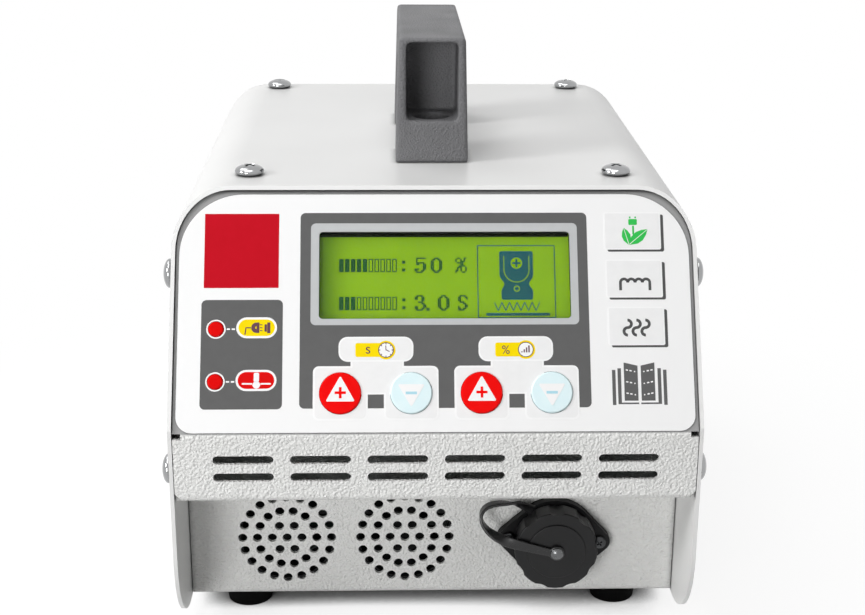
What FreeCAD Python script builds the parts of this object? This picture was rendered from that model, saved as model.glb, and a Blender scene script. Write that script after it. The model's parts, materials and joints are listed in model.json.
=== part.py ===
"""Bench power unit of an induction dent remover.

A folded sheet-metal case with a slanted control face, a slotted visor under it and a recessed
lower front with two fan grilles and the capped output socket. It holds the display, four keys,
two fans, the power electronics, the mains inlet and the mains switch, and is carried by a
moulded bridge handle on its top.

The model is drawn with the bend line of the nose at Y = 0 and the floor at Z = 0. X is to the
right, the front faces -Y. Each piece is moved at the end, so that the origin is the centre of
the footprint on the floor.
"""
import FreeCAD, Part
import math
import os

Vec = FreeCAD.Vector

# Case, in millimetres and degrees
CASE_WIDTH = 200.0
CASE_DEPTH = 258.0
FOOT_HEIGHT = 8.0
NOSE_HEIGHT = 86.0
HOOD_HEIGHT = 84.0
FACE_LEAN = 30.0
VISOR_HEIGHT = 26.8
RECESS_DEPTH = 37.4
COVER_BEND = 22.0
COVER_FRONT_CORNER = 35.0
COVER_REAR_CORNER = 4.0
FACE_SETBACK = 1.25
REAR_SETBACK = 1.0

# Sheets, bends and clearances
COVER_SHEET = 1.5
SHEET = 1.5
SHEET_BEND = 2.6
FLANGE = 18.0
FIT_GAP = 0.3
RUN_GAP = 0.08
OVERRUN = 2.0

# Bend relief of the front sheet
RELIEF_WIDTH = 3.0
RELIEF_HEIGHT = 2.0
VISOR_CHAMFER = 3.5
RETURN_DEPTH = 18.0

# Slots of the visor
SLOT_COLUMNS = 6
SLOT_ROWS = 2
SLOT_SIDE_MARGIN = 16.4
SLOT_GAP_X = 6.2
SLOT_HEIGHT = 3.4
SLOT_PITCH_Z = 7.0
SLOT_TOP_DROP = 9.5

# Fans and their grilles
FAN_SIZE = 40.0
FAN_DEPTH = 20.0
FAN_CORNER = 3.0
FAN_WALL = 1.1
FAN_HOLE_INSET = 4.0
FAN_HOLE = 1.8
FAN_X = (-59.2, -11.4)
PORT_DROP = 60.5
GRILLE_HOLE = 1.85
GRILLE_RING_RADII = (6.0, 12.0, 18.0)
GRILLE_RING_HOLES = (6, 14, 20)
FAN_HUB = 9.0
FAN_HUB_DEPTH = 13.0
FAN_TIP_GAP = 0.5
FAN_BLADES = 7
BLADE_THICKNESS = 1.0
BLADE_CHORD = 9.0
BLADE_ROOT_ANGLE = 52.0
BLADE_TIP_ANGLE = 36.0
FAN_STRUT = 2.6
FAN_BACK = 3.0
FAN_SHAFT = 1.0

# Control face, measured on the slope from the nose: u across, v up
OVERLAY_SHEET = 0.5
OVERLAY_SIDE_GAP = 3.0
OVERLAY_FOOT = 1.4
OVERLAY_TOP_GAP = 2.0
OVERLAY_BOTTOM_CORNER = 6.0
OVERLAY_TOP_CORNER = 24.0
WINDOW_CENTRE = (3.65, 61.3)
WINDOW_SIZE = (95.5, 33.8)
WINDOW_CORNER = 1.5
WINDOW_SHEET = 1.2
WINDOW_LAP = 2.0
KEY_U = (-35.9, -9.4, 17.0, 43.3)
KEY_V = 16.1
KEY_RADIUS = 7.8
KEY_PROUD = 0.9
KEY_CROWN = 0.5
KEY_EDGE = 0.4
KEY_FLANGE = 1.2
KEY_FLANGE_SHEET = 1.0
KEY_STEM = 2.2
KEY_TRAVEL = 0.6
LAMP_INSET = 14.4
LAMP_V = (40.6, 20.6)
LAMP_RADIUS = 2.9
LAMP_PROUD = 0.5
LAMP_BASE = 0.6

# Boards behind the control face
BOARD_SHEET = 1.6
BOARD_DEPTH = 13.0
CONTROL_BOARD_SIDE_GAP = 7.2
CONTROL_BOARD_RIGHT = 69.0
CONTROL_BOARD_V = (7.0, 88.0)
STANDOFF_RADIUS = 2.8
STANDOFF_INSET = 5.0
STUD_RADIUS = 1.4
SWITCH_SIZE = 6.0
SWITCH_HEIGHT = 3.8
BEZEL_MARGIN = 4.6
BEZEL_SHEET = 0.6
BEZEL_DEPTH = 6.2
LCD_BOARD_MARGIN = 2.6
HEADER_LENGTH = 40.0
HEADER_WIDTH = 2.5

# Output socket and its cap
SOCKET_X = 49.0
FLANGE_SHEET = 3.0
FLANGE_HOLE_REACH = 18.4
FLANGE_TIP = 4.4
FLANGE_MIDDLE = 17.4
FLANGE_TILT = 2.8
GASKET_SHEET = 0.8
BARREL_RADIUS = 13.5
BARREL_WALL = 2.2
BARREL_LEAD = 3.8
CAP_TURNS = 3
THREAD_PITCH = 2.0
SOCKET_BODY = 12.4
SOCKET_BODY_DEPTH = 12.0
INSERT_DEPTH = 8.0
INSERT_RECESS = 6.2
CONTACT_RADIUS = 1.6
CONTACT_CIRCLE = 5.6
CONTACT_COUNT = 4
CONTACT_PROUD = 1.5
CONTACT_TAIL = 6.0
CAP_RADIUS = 16.6
CAP_WALL = 2.2
CAP_RIM_DROP = 0.6
CAP_RAISED_SHARE = 0.7
CAP_SCALLOPS = 9
SCALLOP_RADIUS = 7.0
SCALLOP_DEPTH = 0.9
SEAL_SHEET = 0.7
SEAL_WIDTH = 3.6
STRAP_SHEET = 1.4
STRAP_WIDTH = 4.4
STRAP_EYE = 3.6
STRAP_RING_WIDTH = 2.0
STRAP_RING_SHEET = 1.0
STRAP_BAND_SHARE = 0.86
# Stations of the strap: across and up as shares of the cap's radius, depth as a share of the way
# from the eye to the ring, and how far its width has turned from flat to on edge
STRAP_STATION_SHARES = (
    (-0.16, 0.02, 0.0, 0.0),
    (-1.0, 0.25, -0.05, 0.0),
    (-1.42, 0.37, 0.13, 0.6),
    (-1.73, 0.56, 0.30, 0.9),
    (-1.86, 0.82, 0.44, 1.0),
    (-1.76, 1.04, 0.57, 1.0),
    (-1.49, 1.11, 0.69, 1.0),
    (-1.16, 1.08, 0.82, 0.9),
    (-0.86, 1.03, 0.95, 0.4),
    (-0.53, 0.80, 1.0, 0.0),
)
RIVET_SHANK = 1.3
RIVET_HEAD = 2.5
RIVET_HEAD_HEIGHT = 1.5
RIVET_TAIL = 2.2
RIVET_TAIL_HEIGHT = 0.6

# Screws
NUT_SIDES = 6
HEAD_WALL_SHARE = 0.3
CASE_SCREW_HEAD = 5.75
CASE_SCREW_HEAD_HEIGHT = 4.0
CASE_SCREW_SHANK = 2.4
CASE_SCREW_LENGTH = 9.0
CASE_SCREW_INSET = 27.8
TOP_SCREW_FRONT_Y = 65.2
TOP_SCREW_REAR_INSET = 9.0
SIDE_SCREW_EDGE = 11.4
SIDE_SCREW_UPPER_Z = 145.3
SIDE_SCREW_LOWER_Z = 76.4
SMALL_HEAD = 2.8
SMALL_HEAD_HEIGHT = 1.7
SMALL_SHANK = 1.45
HOLE_GAP = 0.2

# Handle
HANDLE_FRONT_Y = 84.2
HANDLE_LENGTH = 100.0
HANDLE_HEIGHT = 50.5
HANDLE_BASE_WIDTH = 29.5
HANDLE_TOP_WIDTH = 26.7
HANDLE_LEG = 26.0
HANDLE_GRIP = 15.0
HANDLE_INNER_ROUND = 9.0
HANDLE_EDGE = 1.4
POCKET_FLOOR = 17.4
POCKET_TOP_WALL = 3.4
POCKET_SIDE_WALL = 3.6
POCKET_BACK_WALL = 3.0
POCKET_CORNER = 2.0
COUNTERBORE = 7.2
COUNTERBORE_FLOOR = 5.0
HANDLE_SCREW_HEAD = 5.2
HANDLE_SCREW_HEAD_HEIGHT = 3.6
HANDLE_SCREW_SHANK = 2.9
NUT_FLATS = 8.0
NUT_HEIGHT = 4.0

# Feet
FOOT_INSET_X = 24.0
FOOT_INSET_Y = 13.6
FOOT_RADIUS = 10.0
FOOT_TAPER = 1.0
FOOT_BORE = 4.6
FOOT_FLOOR = 3.0

# Power board and what it carries
POWER_BOARD_SIDE_GAP = 12.0
POWER_BOARD_FRONT = 78.0
POWER_BOARD_LENGTH = 112.0
POWER_BOARD_LIFT = 7.0
HEATSINK_Y = 114.0
HEATSINK_SIZE = (62.0, 64.0, 42.0)
HEATSINK_BASE = 6.0
HEATSINK_FINS = 9
HEATSINK_FIN = 1.6
TRANSISTOR_SIZE = (4.8, 15.6, 20.5)
TRANSISTOR_COUNT = 4
TRANSISTOR_PITCH = 16.0
TRANSISTOR_LEG = (0.7, 1.2)
TRANSISTOR_LEG_STEPS = (-1, 0, 1)
TRANSISTOR_LEG_STEP_SHARE = 0.33
BRIDGE_LEG_STEPS = (-2, -1, 1, 2)
BRIDGE_LEG_STEP_SHARE = 0.2
TRANSISTOR_LIFT = 6.0
BUS_CAP_RADIUS = 15.0
BUS_CAP_HEIGHT = 42.0
BUS_CAP_ROUND = 2.0
BUS_CAP_PITCH = 33.0
FILM_CAP_SIZE = (14.0, 32.0, 26.0)
FILM_CAP_COUNT = 3
FILM_CAP_PITCH = 17.0
FILM_CAP_Y = 136.0
CORE_Y = 100.0
CORE_SIZE = (42.0, 20.0, 42.0)
CORE_YOKE = 8.0
CORE_CENTRE_LEG = 12.0
WINDING_WALL = 9.0
WINDING_ROUND = 4.0
CHOKE_RADIUS = 15.0
CHOKE_BORE = 8.0
CHOKE_HEIGHT = 12.0
CHOKE_WIRE = 2.2
BRIDGE_SIZE = (5.0, 30.0, 20.0)
RELAY_SIZE = (16.0, 29.0, 20.0)
REAR_ROW_Y = 172.0

# Rear panel: mains inlet, fuse drawer and switch
INLET_X = -52.0
INLET_Z = 46.0
INLET_FLANGE = (50.0, 32.0)
INLET_FLANGE_SHEET = 3.0
INLET_CORNER = 4.0
INLET_BODY = (28.0, 29.0)
INLET_BODY_DEPTH = 24.0
INLET_SOCKET = (24.0, 16.2)
INLET_SOCKET_CORNER = 4.2
INLET_SOCKET_DEPTH = 17.0
INLET_SOCKET_LIFT = 5.0
INLET_SCREW_REACH = 20.0
INLET_PIN = (2.0, 4.0)
INLET_PIN_PITCH = 7.0
INLET_PIN_LENGTH = 10.0
INLET_EARTH_RISE = 3.0
TAB_LENGTH = 8.0
DRAWER_SIZE = (22.0, 7.0)
DRAWER_DEPTH = 18.0
DRAWER_DROP = 9.5
DRAWER_GRIP = (8.0, 1.2)
ROCKER_X = 52.0
ROCKER_Z = 46.0
ROCKER_BEZEL = (25.0, 31.0)
ROCKER_BEZEL_SHEET = 2.0
ROCKER_BODY = (21.4, 27.6)
ROCKER_BODY_DEPTH = 16.0
ROCKER_RADIUS = 12.4
ROCKER_WIDTH = 18.0
ROCKER_TIP_ANGLE = 13.0
ROCKER_SWING = 20.0
ROCKER_VALLEY = 3.4
VENT_COUNT = 12
VENT_LENGTH = 46.0
VENT_HEIGHT = 3.2
VENT_PITCH = 6.4
VENT_TOP_DROP = 22.0

# What follows from the driving sizes
LEAN = math.radians(FACE_LEAN)
BASE_Z = FOOT_HEIGHT
NOSE_Z = BASE_Z + NOSE_HEIGHT
TOP_Z = NOSE_Z + HOOD_HEIGHT
FLOOR_Z = BASE_Z + SHEET
LAP_TOP_Z = FLOOR_Z + SHEET
HALF = CASE_WIDTH / 2
OVERLAY_HALF = HALF - OVERLAY_SIDE_GAP
CASE_SCREW_X = HALF - CASE_SCREW_INSET
FOOT_X = HALF - FOOT_INSET_X
SLOT_PITCH_X = (CASE_WIDTH - 2 * SLOT_SIDE_MARGIN + SLOT_GAP_X) / SLOT_COLUMNS
SLOT_LENGTH = SLOT_PITCH_X - SLOT_GAP_X
LAMP_PLACES = [(LAMP_INSET - OVERLAY_HALF, v) for v in LAMP_V]
INNER_HALF = HALF - COVER_SHEET - FIT_GAP
INNER_TOP = TOP_Z - COVER_SHEET - FIT_GAP
INNER_BEND = COVER_BEND - COVER_SHEET - FIT_GAP
SLOPE_LENGTH = (INNER_TOP - NOSE_Z) / math.cos(LEAN)
VISOR_Z = NOSE_Z - VISOR_HEIGHT
EDGE_NOSE_Z = NOSE_Z + FACE_SETBACK / math.sin(LEAN)
EDGE_TOP_Y = (TOP_Z - EDGE_NOSE_Z) * math.tan(LEAN)
LOWER_BACK_Y = RECESS_DEPTH + SHEET
REAR_Y = CASE_DEPTH - REAR_SETBACK
REAR_INNER_Y = REAR_Y - SHEET
PORT_Z = NOSE_Z - PORT_DROP
FAN_BORE = FAN_SIZE / 2 - FAN_WALL
FAN_HOLE_SPACING = FAN_SIZE - 2 * FAN_HOLE_INSET
FAN_FRONT_Y = LOWER_BACK_Y + FIT_GAP
FAN_BACK_Y = FAN_FRONT_Y + FAN_DEPTH
BRACKET_BACK_Y = FAN_BACK_Y + SHEET
BOARD_FRONT_N = -BOARD_DEPTH
CONTROL_BOARD_U = (CONTROL_BOARD_SIDE_GAP - INNER_HALF, CONTROL_BOARD_RIGHT)
BEZEL_FRONT_N = -SHEET - FIT_GAP
FLANGE_Y = RECESS_DEPTH - GASKET_SHEET
FLANGE_FRONT_Y = FLANGE_Y - FLANGE_SHEET
BARREL_REACH = BARREL_LEAD + CAP_TURNS * THREAD_PITCH
BARREL_END_Y = FLANGE_FRONT_Y - BARREL_REACH + FLANGE_SHEET
CAP_INNER_Y = BARREL_END_Y - FIT_GAP - SEAL_SHEET
CAP_RIM_Y = CAP_INNER_Y - CAP_WALL
CAP_FRONT_Y = CAP_RIM_Y - CAP_RIM_DROP
STRAP_RING_Y = FLANGE_FRONT_Y - STRAP_RING_SHEET
CAP_BACK_Y = STRAP_RING_Y - FIT_GAP
EYE_BACK_Y = CAP_FRONT_Y - RUN_GAP
EYE_FRONT_Y = EYE_BACK_Y - STRAP_SHEET
HANDLE_REAR_Y = HANDLE_FRONT_Y + HANDLE_LENGTH
HANDLE_TOP_Z = TOP_Z + HANDLE_HEIGHT
POWER_BOARD_HALF = HALF - POWER_BOARD_SIDE_GAP
POWER_BOARD_REAR = POWER_BOARD_FRONT + POWER_BOARD_LENGTH
POWER_BOARD_Z = FLOOR_Z + POWER_BOARD_LIFT
POWER_TOP_Z = POWER_BOARD_Z + BOARD_SHEET
ROCKER_REACH = ROCKER_RADIUS * math.sin(math.radians(ROCKER_TIP_ANGLE + ROCKER_SWING / 2))
OVERALL_DEPTH = REAR_Y + ROCKER_REACH
MOVE_TO_CENTRE = Vec(0, -OVERALL_DEPTH / 2, 0)

X_AXIS = Vec(1, 0, 0)
Z_AXIS = Vec(0, 0, 1)
FORWARD = Vec(0, -1, 0)
BACKWARD = Vec(0, 1, 0)
DOWN = Vec(0, 0, -1)
PLANES = {
    "xy": lambda a, b: Vec(a, b, 0),
    "xz": lambda a, b: Vec(a, 0, b),
    "yz": lambda a, b: Vec(0, a, b),
}
PARTS = {}
TOUCH = 1e-6


def box(x_span, y_span, z_span):
    """Box between two places along each axis."""
    size = [span[1] - span[0] for span in (x_span, y_span, z_span)]
    return Part.makeBox(*size, Vec(x_span[0], y_span[0], z_span[0]))


def span(middle, width):
    """The two ends of a width about its middle."""
    return middle - width / 2, middle + width / 2


def outline(points, radii, plane="xy"):
    """Closed face through the points, each corner rounded by its own radius."""
    at = PLANES[plane]
    if not isinstance(radii, list):
        radii = [radii] * len(points)
    edges = []
    ends = []
    for i, point in enumerate(points):
        corner = at(*point)
        into = (corner - at(*points[i - 1])).normalize()
        out = (at(*points[(i + 1) % len(points)]) - corner).normalize()
        turn = into.getAngle(out)
        reach = radii[i] * math.tan(turn / 2)
        start = corner - into * reach
        end = corner + out * reach
        if radii[i] > 0:
            inward = (out - into).normalize()
            middle = corner + inward * (radii[i] / math.cos(turn / 2) - radii[i])
            edges.append(Part.Arc(start, middle, end).toShape())
        ends.append((start, end))
    for i, (start, end) in enumerate(ends):
        before = ends[i - 1][1]
        if before.distanceToPoint(start) > TOUCH:
            edges.append(Part.LineSegment(before, start).toShape())
    return Part.Face(Part.Wire(Part.__sortEdges__(edges)))


def rectangle(middle, size):
    """Corner points of a rectangle, given by its middle and its size."""
    left, right = span(middle[0], size[0])
    low, high = span(middle[1], size[1])
    return [(left, low), (right, low), (right, high), (left, high)]


def plate(points, radii, z_span, plane="xy"):
    """Rounded outline given thickness along the third axis of its plane."""
    normal = {"xy": Z_AXIS, "xz": BACKWARD, "yz": X_AXIS}[plane]
    face = outline(points, radii, plane)
    face.translate(normal * z_span[0])
    return face.extrude(normal * (z_span[1] - z_span[0]))


def sheet(path, thickness, bend, x_span):
    """Sheet folded along a path of its middle line in (y, z), with round bends."""
    sides = ([], [])
    radii = ([], [])
    for i, here in enumerate(path):
        before = path[max(i - 1, 0)]
        after = path[min(i + 1, len(path) - 1)]
        normals = []
        for start, end in ((before, here), (here, after)):
            length = math.dist(start, end)
            if length > TOUCH:
                normals.append(((start[1] - end[1]) / length, (end[0] - start[0]) / length))
        first, last = normals[0], normals[-1]
        share = 1 + first[0] * last[0] + first[1] * last[1]
        mitre = ((first[0] + last[0]) / share, (first[1] + last[1]) / share)
        turn = first[0] * last[1] - first[1] * last[0]
        for side, sign in enumerate((1, -1)):
            offset = sign * thickness / 2
            sides[side].append((here[0] + mitre[0] * offset, here[1] + mitre[1] * offset))
            inside = turn * sign > 0
            radius = bend - thickness if inside else bend
            radii[side].append(radius if len(normals) > 1 and abs(turn) > TOUCH else 0)
    points = sides[0] + sides[1][::-1]
    return plate(points, radii[0] + radii[1][::-1], x_span, "yz")


def turned(points, radii=0):
    """Solid of revolution about Z from its half outline in (radius, z)."""
    return outline(points, radii, "xz").revolve(Vec(0, 0, 0), Z_AXIS, 360)


def ring(outer, inner, z_span):
    """Plain ring about Z."""
    low, high = z_span
    return turned([(inner, low), (outer, low), (outer, high), (inner, high)])


def rod(radius, start, axis, length):
    """Cylinder from a start point along an axis."""
    return Part.makeCylinder(radius, length, start, axis)


def prism(sides, flats, z_span):
    """Regular prism about Z with the given width across its flats."""
    radius = flats / 2 / math.cos(math.pi / sides)
    turns = [2 * math.pi * (i + 0.5) / sides for i in range(sides)]
    points = [(radius * math.cos(turn), radius * math.sin(turn)) for turn in turns]
    return plate(points, 0, z_span)


def placed(shape, origin, axis):
    """Copy of a shape drawn about Z, stood along another axis at a place."""
    copy = shape.copy()
    copy.Placement = FreeCAD.Placement(origin, FreeCAD.Rotation(Z_AXIS, axis)).multiply(copy.Placement)
    return copy


def on_slope(shape):
    """Move a shape drawn with x across, y up the slope and z outwards onto the slanted face."""
    copy = shape.copy()
    turn = FreeCAD.Rotation(X_AXIS, 90 - FACE_LEAN)
    copy.Placement = FreeCAD.Placement(Vec(0, 0, NOSE_Z), turn).multiply(copy.Placement)
    return copy


def fuse(shapes):
    """One solid from pieces that meet."""
    whole = shapes[0].fuse(list(shapes[1:]))
    return whole.removeSplitter()


def cut(shape, tools):
    """Shape with every tool taken out of it."""
    tools = [tool for tool in tools if tool is not None]
    return shape.cut(tools) if tools else shape


def group(shapes):
    """Separate solids kept together in one part."""
    return Part.makeCompound(shapes)


def mirrored(shape):
    """The same shape on the other side of the case."""
    return shape.mirror(Vec(0, 0, 0), X_AXIS)


def on_circle(radius, count, first=0.0):
    """Points spread evenly on a circle."""
    turns = [first + 2 * math.pi * i / count for i in range(count)]
    return [(radius * math.cos(turn), radius * math.sin(turn)) for turn in turns]


def screw(head, head_height, shank, length):
    """Pan-headed screw drawn about Z, its head above zero and its shank below."""
    wall = head_height * HEAD_WALL_SHARE
    rise = head_height - wall
    ball = (head ** 2 + rise ** 2) / (2 * rise)
    turn = math.asin(head / ball) / 2
    rim = Vec(head, 0, wall)
    top = Vec(0, 0, head_height)
    middle = Vec(ball * math.sin(turn), 0, head_height - ball + ball * math.cos(turn))
    line = [Vec(head, 0, 0), Vec(shank, 0, 0), Vec(shank, 0, -length), Vec(0, 0, -length), top]
    edges = [Part.LineSegment(a, b).toShape() for a, b in zip([rim] + line[:-1], line)]
    edges.append(Part.Arc(top, middle, rim).toShape())
    return Part.Face(Part.Wire(edges)).revolve(Vec(0, 0, 0), Z_AXIS, 360)


def inner_room(y_span):
    """The room inside the cover, less the fit gap, that the inner sheets fill."""
    points = [(-INNER_HALF, BASE_Z), (INNER_HALF, BASE_Z),
              (INNER_HALF, INNER_TOP), (-INNER_HALF, INNER_TOP)]
    return plate(points, [0, 0, INNER_BEND, INNER_BEND], y_span, "xz")


def case_screw_places():
    """Where the domed case screws sit: each a point under the head and the way it faces."""
    rear = CASE_DEPTH - TOP_SCREW_REAR_INSET
    places = [(Vec(x, y, TOP_Z), Z_AXIS)
              for x in (-CASE_SCREW_X, CASE_SCREW_X) for y in (TOP_SCREW_FRONT_Y, rear)]
    upper_y = (SIDE_SCREW_UPPER_Z - EDGE_NOSE_Z) * math.tan(LEAN) + SIDE_SCREW_EDGE
    sides = [(upper_y, SIDE_SCREW_UPPER_Z), (SIDE_SCREW_EDGE, SIDE_SCREW_LOWER_Z)]
    sides += [(rear, SIDE_SCREW_UPPER_Z), (rear, SIDE_SCREW_LOWER_Z)]
    for y, z in sides:
        places.append((Vec(HALF, y, z), X_AXIS))
        places.append((Vec(-HALF, y, z), -X_AXIS))
    return places


def case_screw_holes(radius):
    """Tools for the holes of the case screws."""
    return [rod(radius, point + axis * OVERRUN, -axis, CASE_SCREW_LENGTH + OVERRUN)
            for point, axis in case_screw_places()]


def handle_screw_places():
    """Where the two handle screws go down through the cover."""
    middle = (HANDLE_LEG - POCKET_BACK_WALL) / 2
    return [Vec(0, HANDLE_FRONT_Y + middle, TOP_Z), Vec(0, HANDLE_REAR_Y - middle, TOP_Z)]


def cover():
    """U-shaped hood with its slanted front edge and round bends."""
    outer = [(-HALF, BASE_Z), (-HALF, TOP_Z), (HALF, TOP_Z), (HALF, BASE_Z)]
    inner_half = HALF - COVER_SHEET
    inner = [(inner_half, BASE_Z), (inner_half, TOP_Z - COVER_SHEET),
             (-inner_half, TOP_Z - COVER_SHEET), (-inner_half, BASE_Z)]
    bend = COVER_BEND
    radii = [0, bend, bend, 0, 0, bend - COVER_SHEET, bend - COVER_SHEET, 0]
    hood = plate(outer + inner, radii, (0, CASE_DEPTH), "xz")
    past = OVERRUN * math.tan(LEAN)
    side = [(0, BASE_Z), (CASE_DEPTH, BASE_Z), (CASE_DEPTH, TOP_Z + OVERRUN),
            (EDGE_TOP_Y + past, TOP_Z + OVERRUN), (0, EDGE_NOSE_Z)]
    corners = [COVER_FRONT_CORNER, COVER_REAR_CORNER, 0, 0, COVER_SHEET]
    hood = hood.common(plate(side, corners, (-HALF, HALF), "yz"))
    holes = case_screw_holes(CASE_SCREW_SHANK + HOLE_GAP)
    for place in handle_screw_places():
        start = place + DOWN * COVER_BEND
        holes.append(rod(HANDLE_SCREW_SHANK + HOLE_GAP, start, Z_AXIS, COVER_BEND + OVERRUN))
    return cut(hood, holes)


def slot(length, height, middle, y_span):
    """Slot with round ends, cut along Y."""
    return plate(rectangle(middle, (length, height)), height / 2, y_span, "xz")


def front_sheet():
    """Slanted face, nose, slotted visor and the return under it, folded from one sheet."""
    half_sheet = SHEET / 2
    nose = (half_sheet, NOSE_Z - half_sheet * math.tan(LEAN / 2))
    top_z = INNER_TOP - half_sheet
    top_y = (half_sheet + math.sin(LEAN) * (top_z - NOSE_Z)) / math.cos(LEAN)
    under_z = VISOR_Z + half_sheet
    path = [(TOP_SCREW_FRONT_Y + FLANGE / 2, top_z), (top_y, top_z), nose, (half_sheet, under_z),
            (LOWER_BACK_Y + FLANGE, under_z)]
    body = sheet(path, SHEET, SHEET_BEND, (-INNER_HALF, INNER_HALF))
    inner_side = INNER_HALF - SHEET
    slope_return = box((inner_side, INNER_HALF), (RELIEF_HEIGHT, SLOPE_LENGTH),
                       (-RETURN_DEPTH, -half_sheet))
    visor_return = box((inner_side, INNER_HALF), (half_sheet, RETURN_DEPTH),
                       (VISOR_Z + RELIEF_HEIGHT, NOSE_Z - RELIEF_HEIGHT))
    returns = [on_slope(slope_return), visor_return]
    body = fuse([body] + returns + [mirrored(piece) for piece in returns])
    body = body.common(inner_room((0, CASE_DEPTH)))
    return cut(body, front_sheet_holes())


def front_sheet_holes():
    """Every opening of the front sheet."""
    low, high = -SHEET - OVERRUN, OVERRUN
    window = [WINDOW_SIZE[0] + 2 * WINDOW_LAP, WINDOW_SIZE[1] + 2 * WINDOW_LAP]
    tools = [on_slope(plate(rectangle(WINDOW_CENTRE, window), WINDOW_CORNER, (low, high)))]
    for u in KEY_U:
        tools.append(on_slope(rod(KEY_RADIUS + HOLE_GAP, Vec(u, KEY_V, low), Z_AXIS, high - low)))
    for u, v in LAMP_PLACES:
        tools.append(on_slope(rod(LAMP_RADIUS + HOLE_GAP, Vec(u, v, low), Z_AXIS, high - low)))
    for row in range(SLOT_ROWS):
        for column in range(SLOT_COLUMNS):
            x = (column - (SLOT_COLUMNS - 1) / 2) * SLOT_PITCH_X
            z = NOSE_Z - SLOT_TOP_DROP - row * SLOT_PITCH_Z
            tools.append(slot(SLOT_LENGTH, SLOT_HEIGHT, (x, z), (-OVERRUN, SHEET + OVERRUN)))
    for side in (-1, 1):
        notch = box(span(side * INNER_HALF, 2 * RELIEF_WIDTH), (-OVERRUN, 2 * RELIEF_HEIGHT),
                    span(NOSE_Z, RELIEF_HEIGHT))
        tools.append(notch)
        corner = [(side * (INNER_HALF - VISOR_CHAMFER), VISOR_Z), (side * INNER_HALF, VISOR_Z),
                  (side * INNER_HALF, VISOR_Z + VISOR_CHAMFER)]
        tools.append(plate(corner, 0, (-OVERRUN, SHEET), "xz"))
    return tools + case_screw_holes(CASE_SCREW_SHANK + HOLE_GAP)


def lower_front_panel():
    """Recessed front with two drilled grilles and the hole of the output socket."""
    middle_y = RECESS_DEPTH + SHEET / 2
    low_z = BASE_Z + SHEET / 2
    high_z = VISOR_Z - SHEET / 2
    flange_y = LOWER_BACK_Y + FLANGE
    path = [(flange_y, low_z), (middle_y, low_z), (middle_y, high_z), (flange_y, high_z)]
    panel = sheet(path, SHEET, SHEET_BEND, (-INNER_HALF, INNER_HALF))
    tools = foot_screw_holes()
    tools.append(rod(SOCKET_BODY + HOLE_GAP, Vec(SOCKET_X, 0, PORT_Z), BACKWARD, LOWER_BACK_Y + OVERRUN))
    for x, z in socket_screw_places():
        tools.append(rod(SMALL_SHANK + HOLE_GAP, Vec(x, 0, z), BACKWARD, LOWER_BACK_Y + OVERRUN))
    for fan_x in FAN_X:
        holes = [(0, 0)]
        for radius, count in zip(GRILLE_RING_RADII, GRILLE_RING_HOLES):
            holes += on_circle(radius, count)
        for x, z in holes:
            tools.append(rod(GRILLE_HOLE, Vec(fan_x + x, RECESS_DEPTH - OVERRUN, PORT_Z + z), BACKWARD,
                             SHEET + 2 * OVERRUN))
    return cut(panel, tools)


def base_tray():
    """Floor of the case with a lip along each side and a raised lap over the front's flange."""
    front_y = LOWER_BACK_Y + FLANGE + FIT_GAP
    side = INNER_HALF - SHEET
    floor = box((-INNER_HALF, INNER_HALF), (front_y, REAR_Y), (BASE_Z, FLOOR_Z))
    lap = box((-side, side), (LOWER_BACK_Y + SHEET_BEND, BRACKET_BACK_Y + FLANGE + SHEET),
              (FLOOR_Z, LAP_TOP_Z))
    lip = box((side, INNER_HALF), (front_y, REAR_INNER_Y - FLANGE), (BASE_Z, FLOOR_Z + FLANGE))
    return cut(fuse([floor, lap, lip, mirrored(lip)]), foot_screw_holes())


def rear_panel():
    """Back of the case with vent slots, folded forward at its four sides."""
    middle_y = REAR_Y - SHEET / 2
    low_z = FLOOR_Z + SHEET / 2
    high_z = INNER_TOP - SHEET / 2
    front_y = REAR_Y - FLANGE - SHEET
    path = [(front_y, low_z), (middle_y, low_z), (middle_y, high_z), (front_y, high_z)]
    panel = sheet(path, SHEET, SHEET_BEND, (-INNER_HALF, INNER_HALF))
    flange = box((INNER_HALF - SHEET, INNER_HALF), (front_y, middle_y),
                 (SIDE_SCREW_LOWER_Z - FLANGE, SIDE_SCREW_UPPER_Z + CASE_SCREW_HEAD))
    panel = fuse([panel, flange, mirrored(flange)]).common(inner_room((0, CASE_DEPTH)))
    y_span = (REAR_INNER_Y - OVERRUN, REAR_Y + OVERRUN)
    tools = case_screw_holes(CASE_SCREW_SHANK + HOLE_GAP) + foot_screw_holes()
    for i in range(VENT_COUNT):
        z = INNER_TOP - VENT_TOP_DROP - i * VENT_PITCH
        tools += [slot(VENT_LENGTH, VENT_HEIGHT, (side * (VENT_LENGTH + VENT_PITCH) / 2, z), y_span)
                  for side in (-1, 1)]
    inlet_hole = (INLET_BODY[0] + 2 * HOLE_GAP, INLET_BODY[1] + 2 * HOLE_GAP)
    tools.append(plate(rectangle((INLET_X, INLET_Z), inlet_hole), 0, y_span, "xz"))
    rocker_hole = (ROCKER_BODY[0] + 2 * HOLE_GAP, ROCKER_BODY[1] + 2 * HOLE_GAP)
    tools.append(plate(rectangle((ROCKER_X, ROCKER_Z), rocker_hole), 0, y_span, "xz"))
    tools += inlet_screw_holes(REAR_INNER_Y, SHEET)
    return cut(panel, tools)


def inlet_screw_places(y):
    """Middles of the two screws of the power inlet, at one depth."""
    return [Vec(INLET_X + side * INLET_SCREW_REACH, y, INLET_Z) for side in (-1, 1)]


def inlet_screw_holes(front_y, depth):
    """Holes for the inlet's screws through a wall that starts at front_y."""
    return [rod(SMALL_SHANK + HOLE_GAP, place, BACKWARD, depth + 2 * OVERRUN)
            for place in inlet_screw_places(front_y - OVERRUN)]


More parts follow.
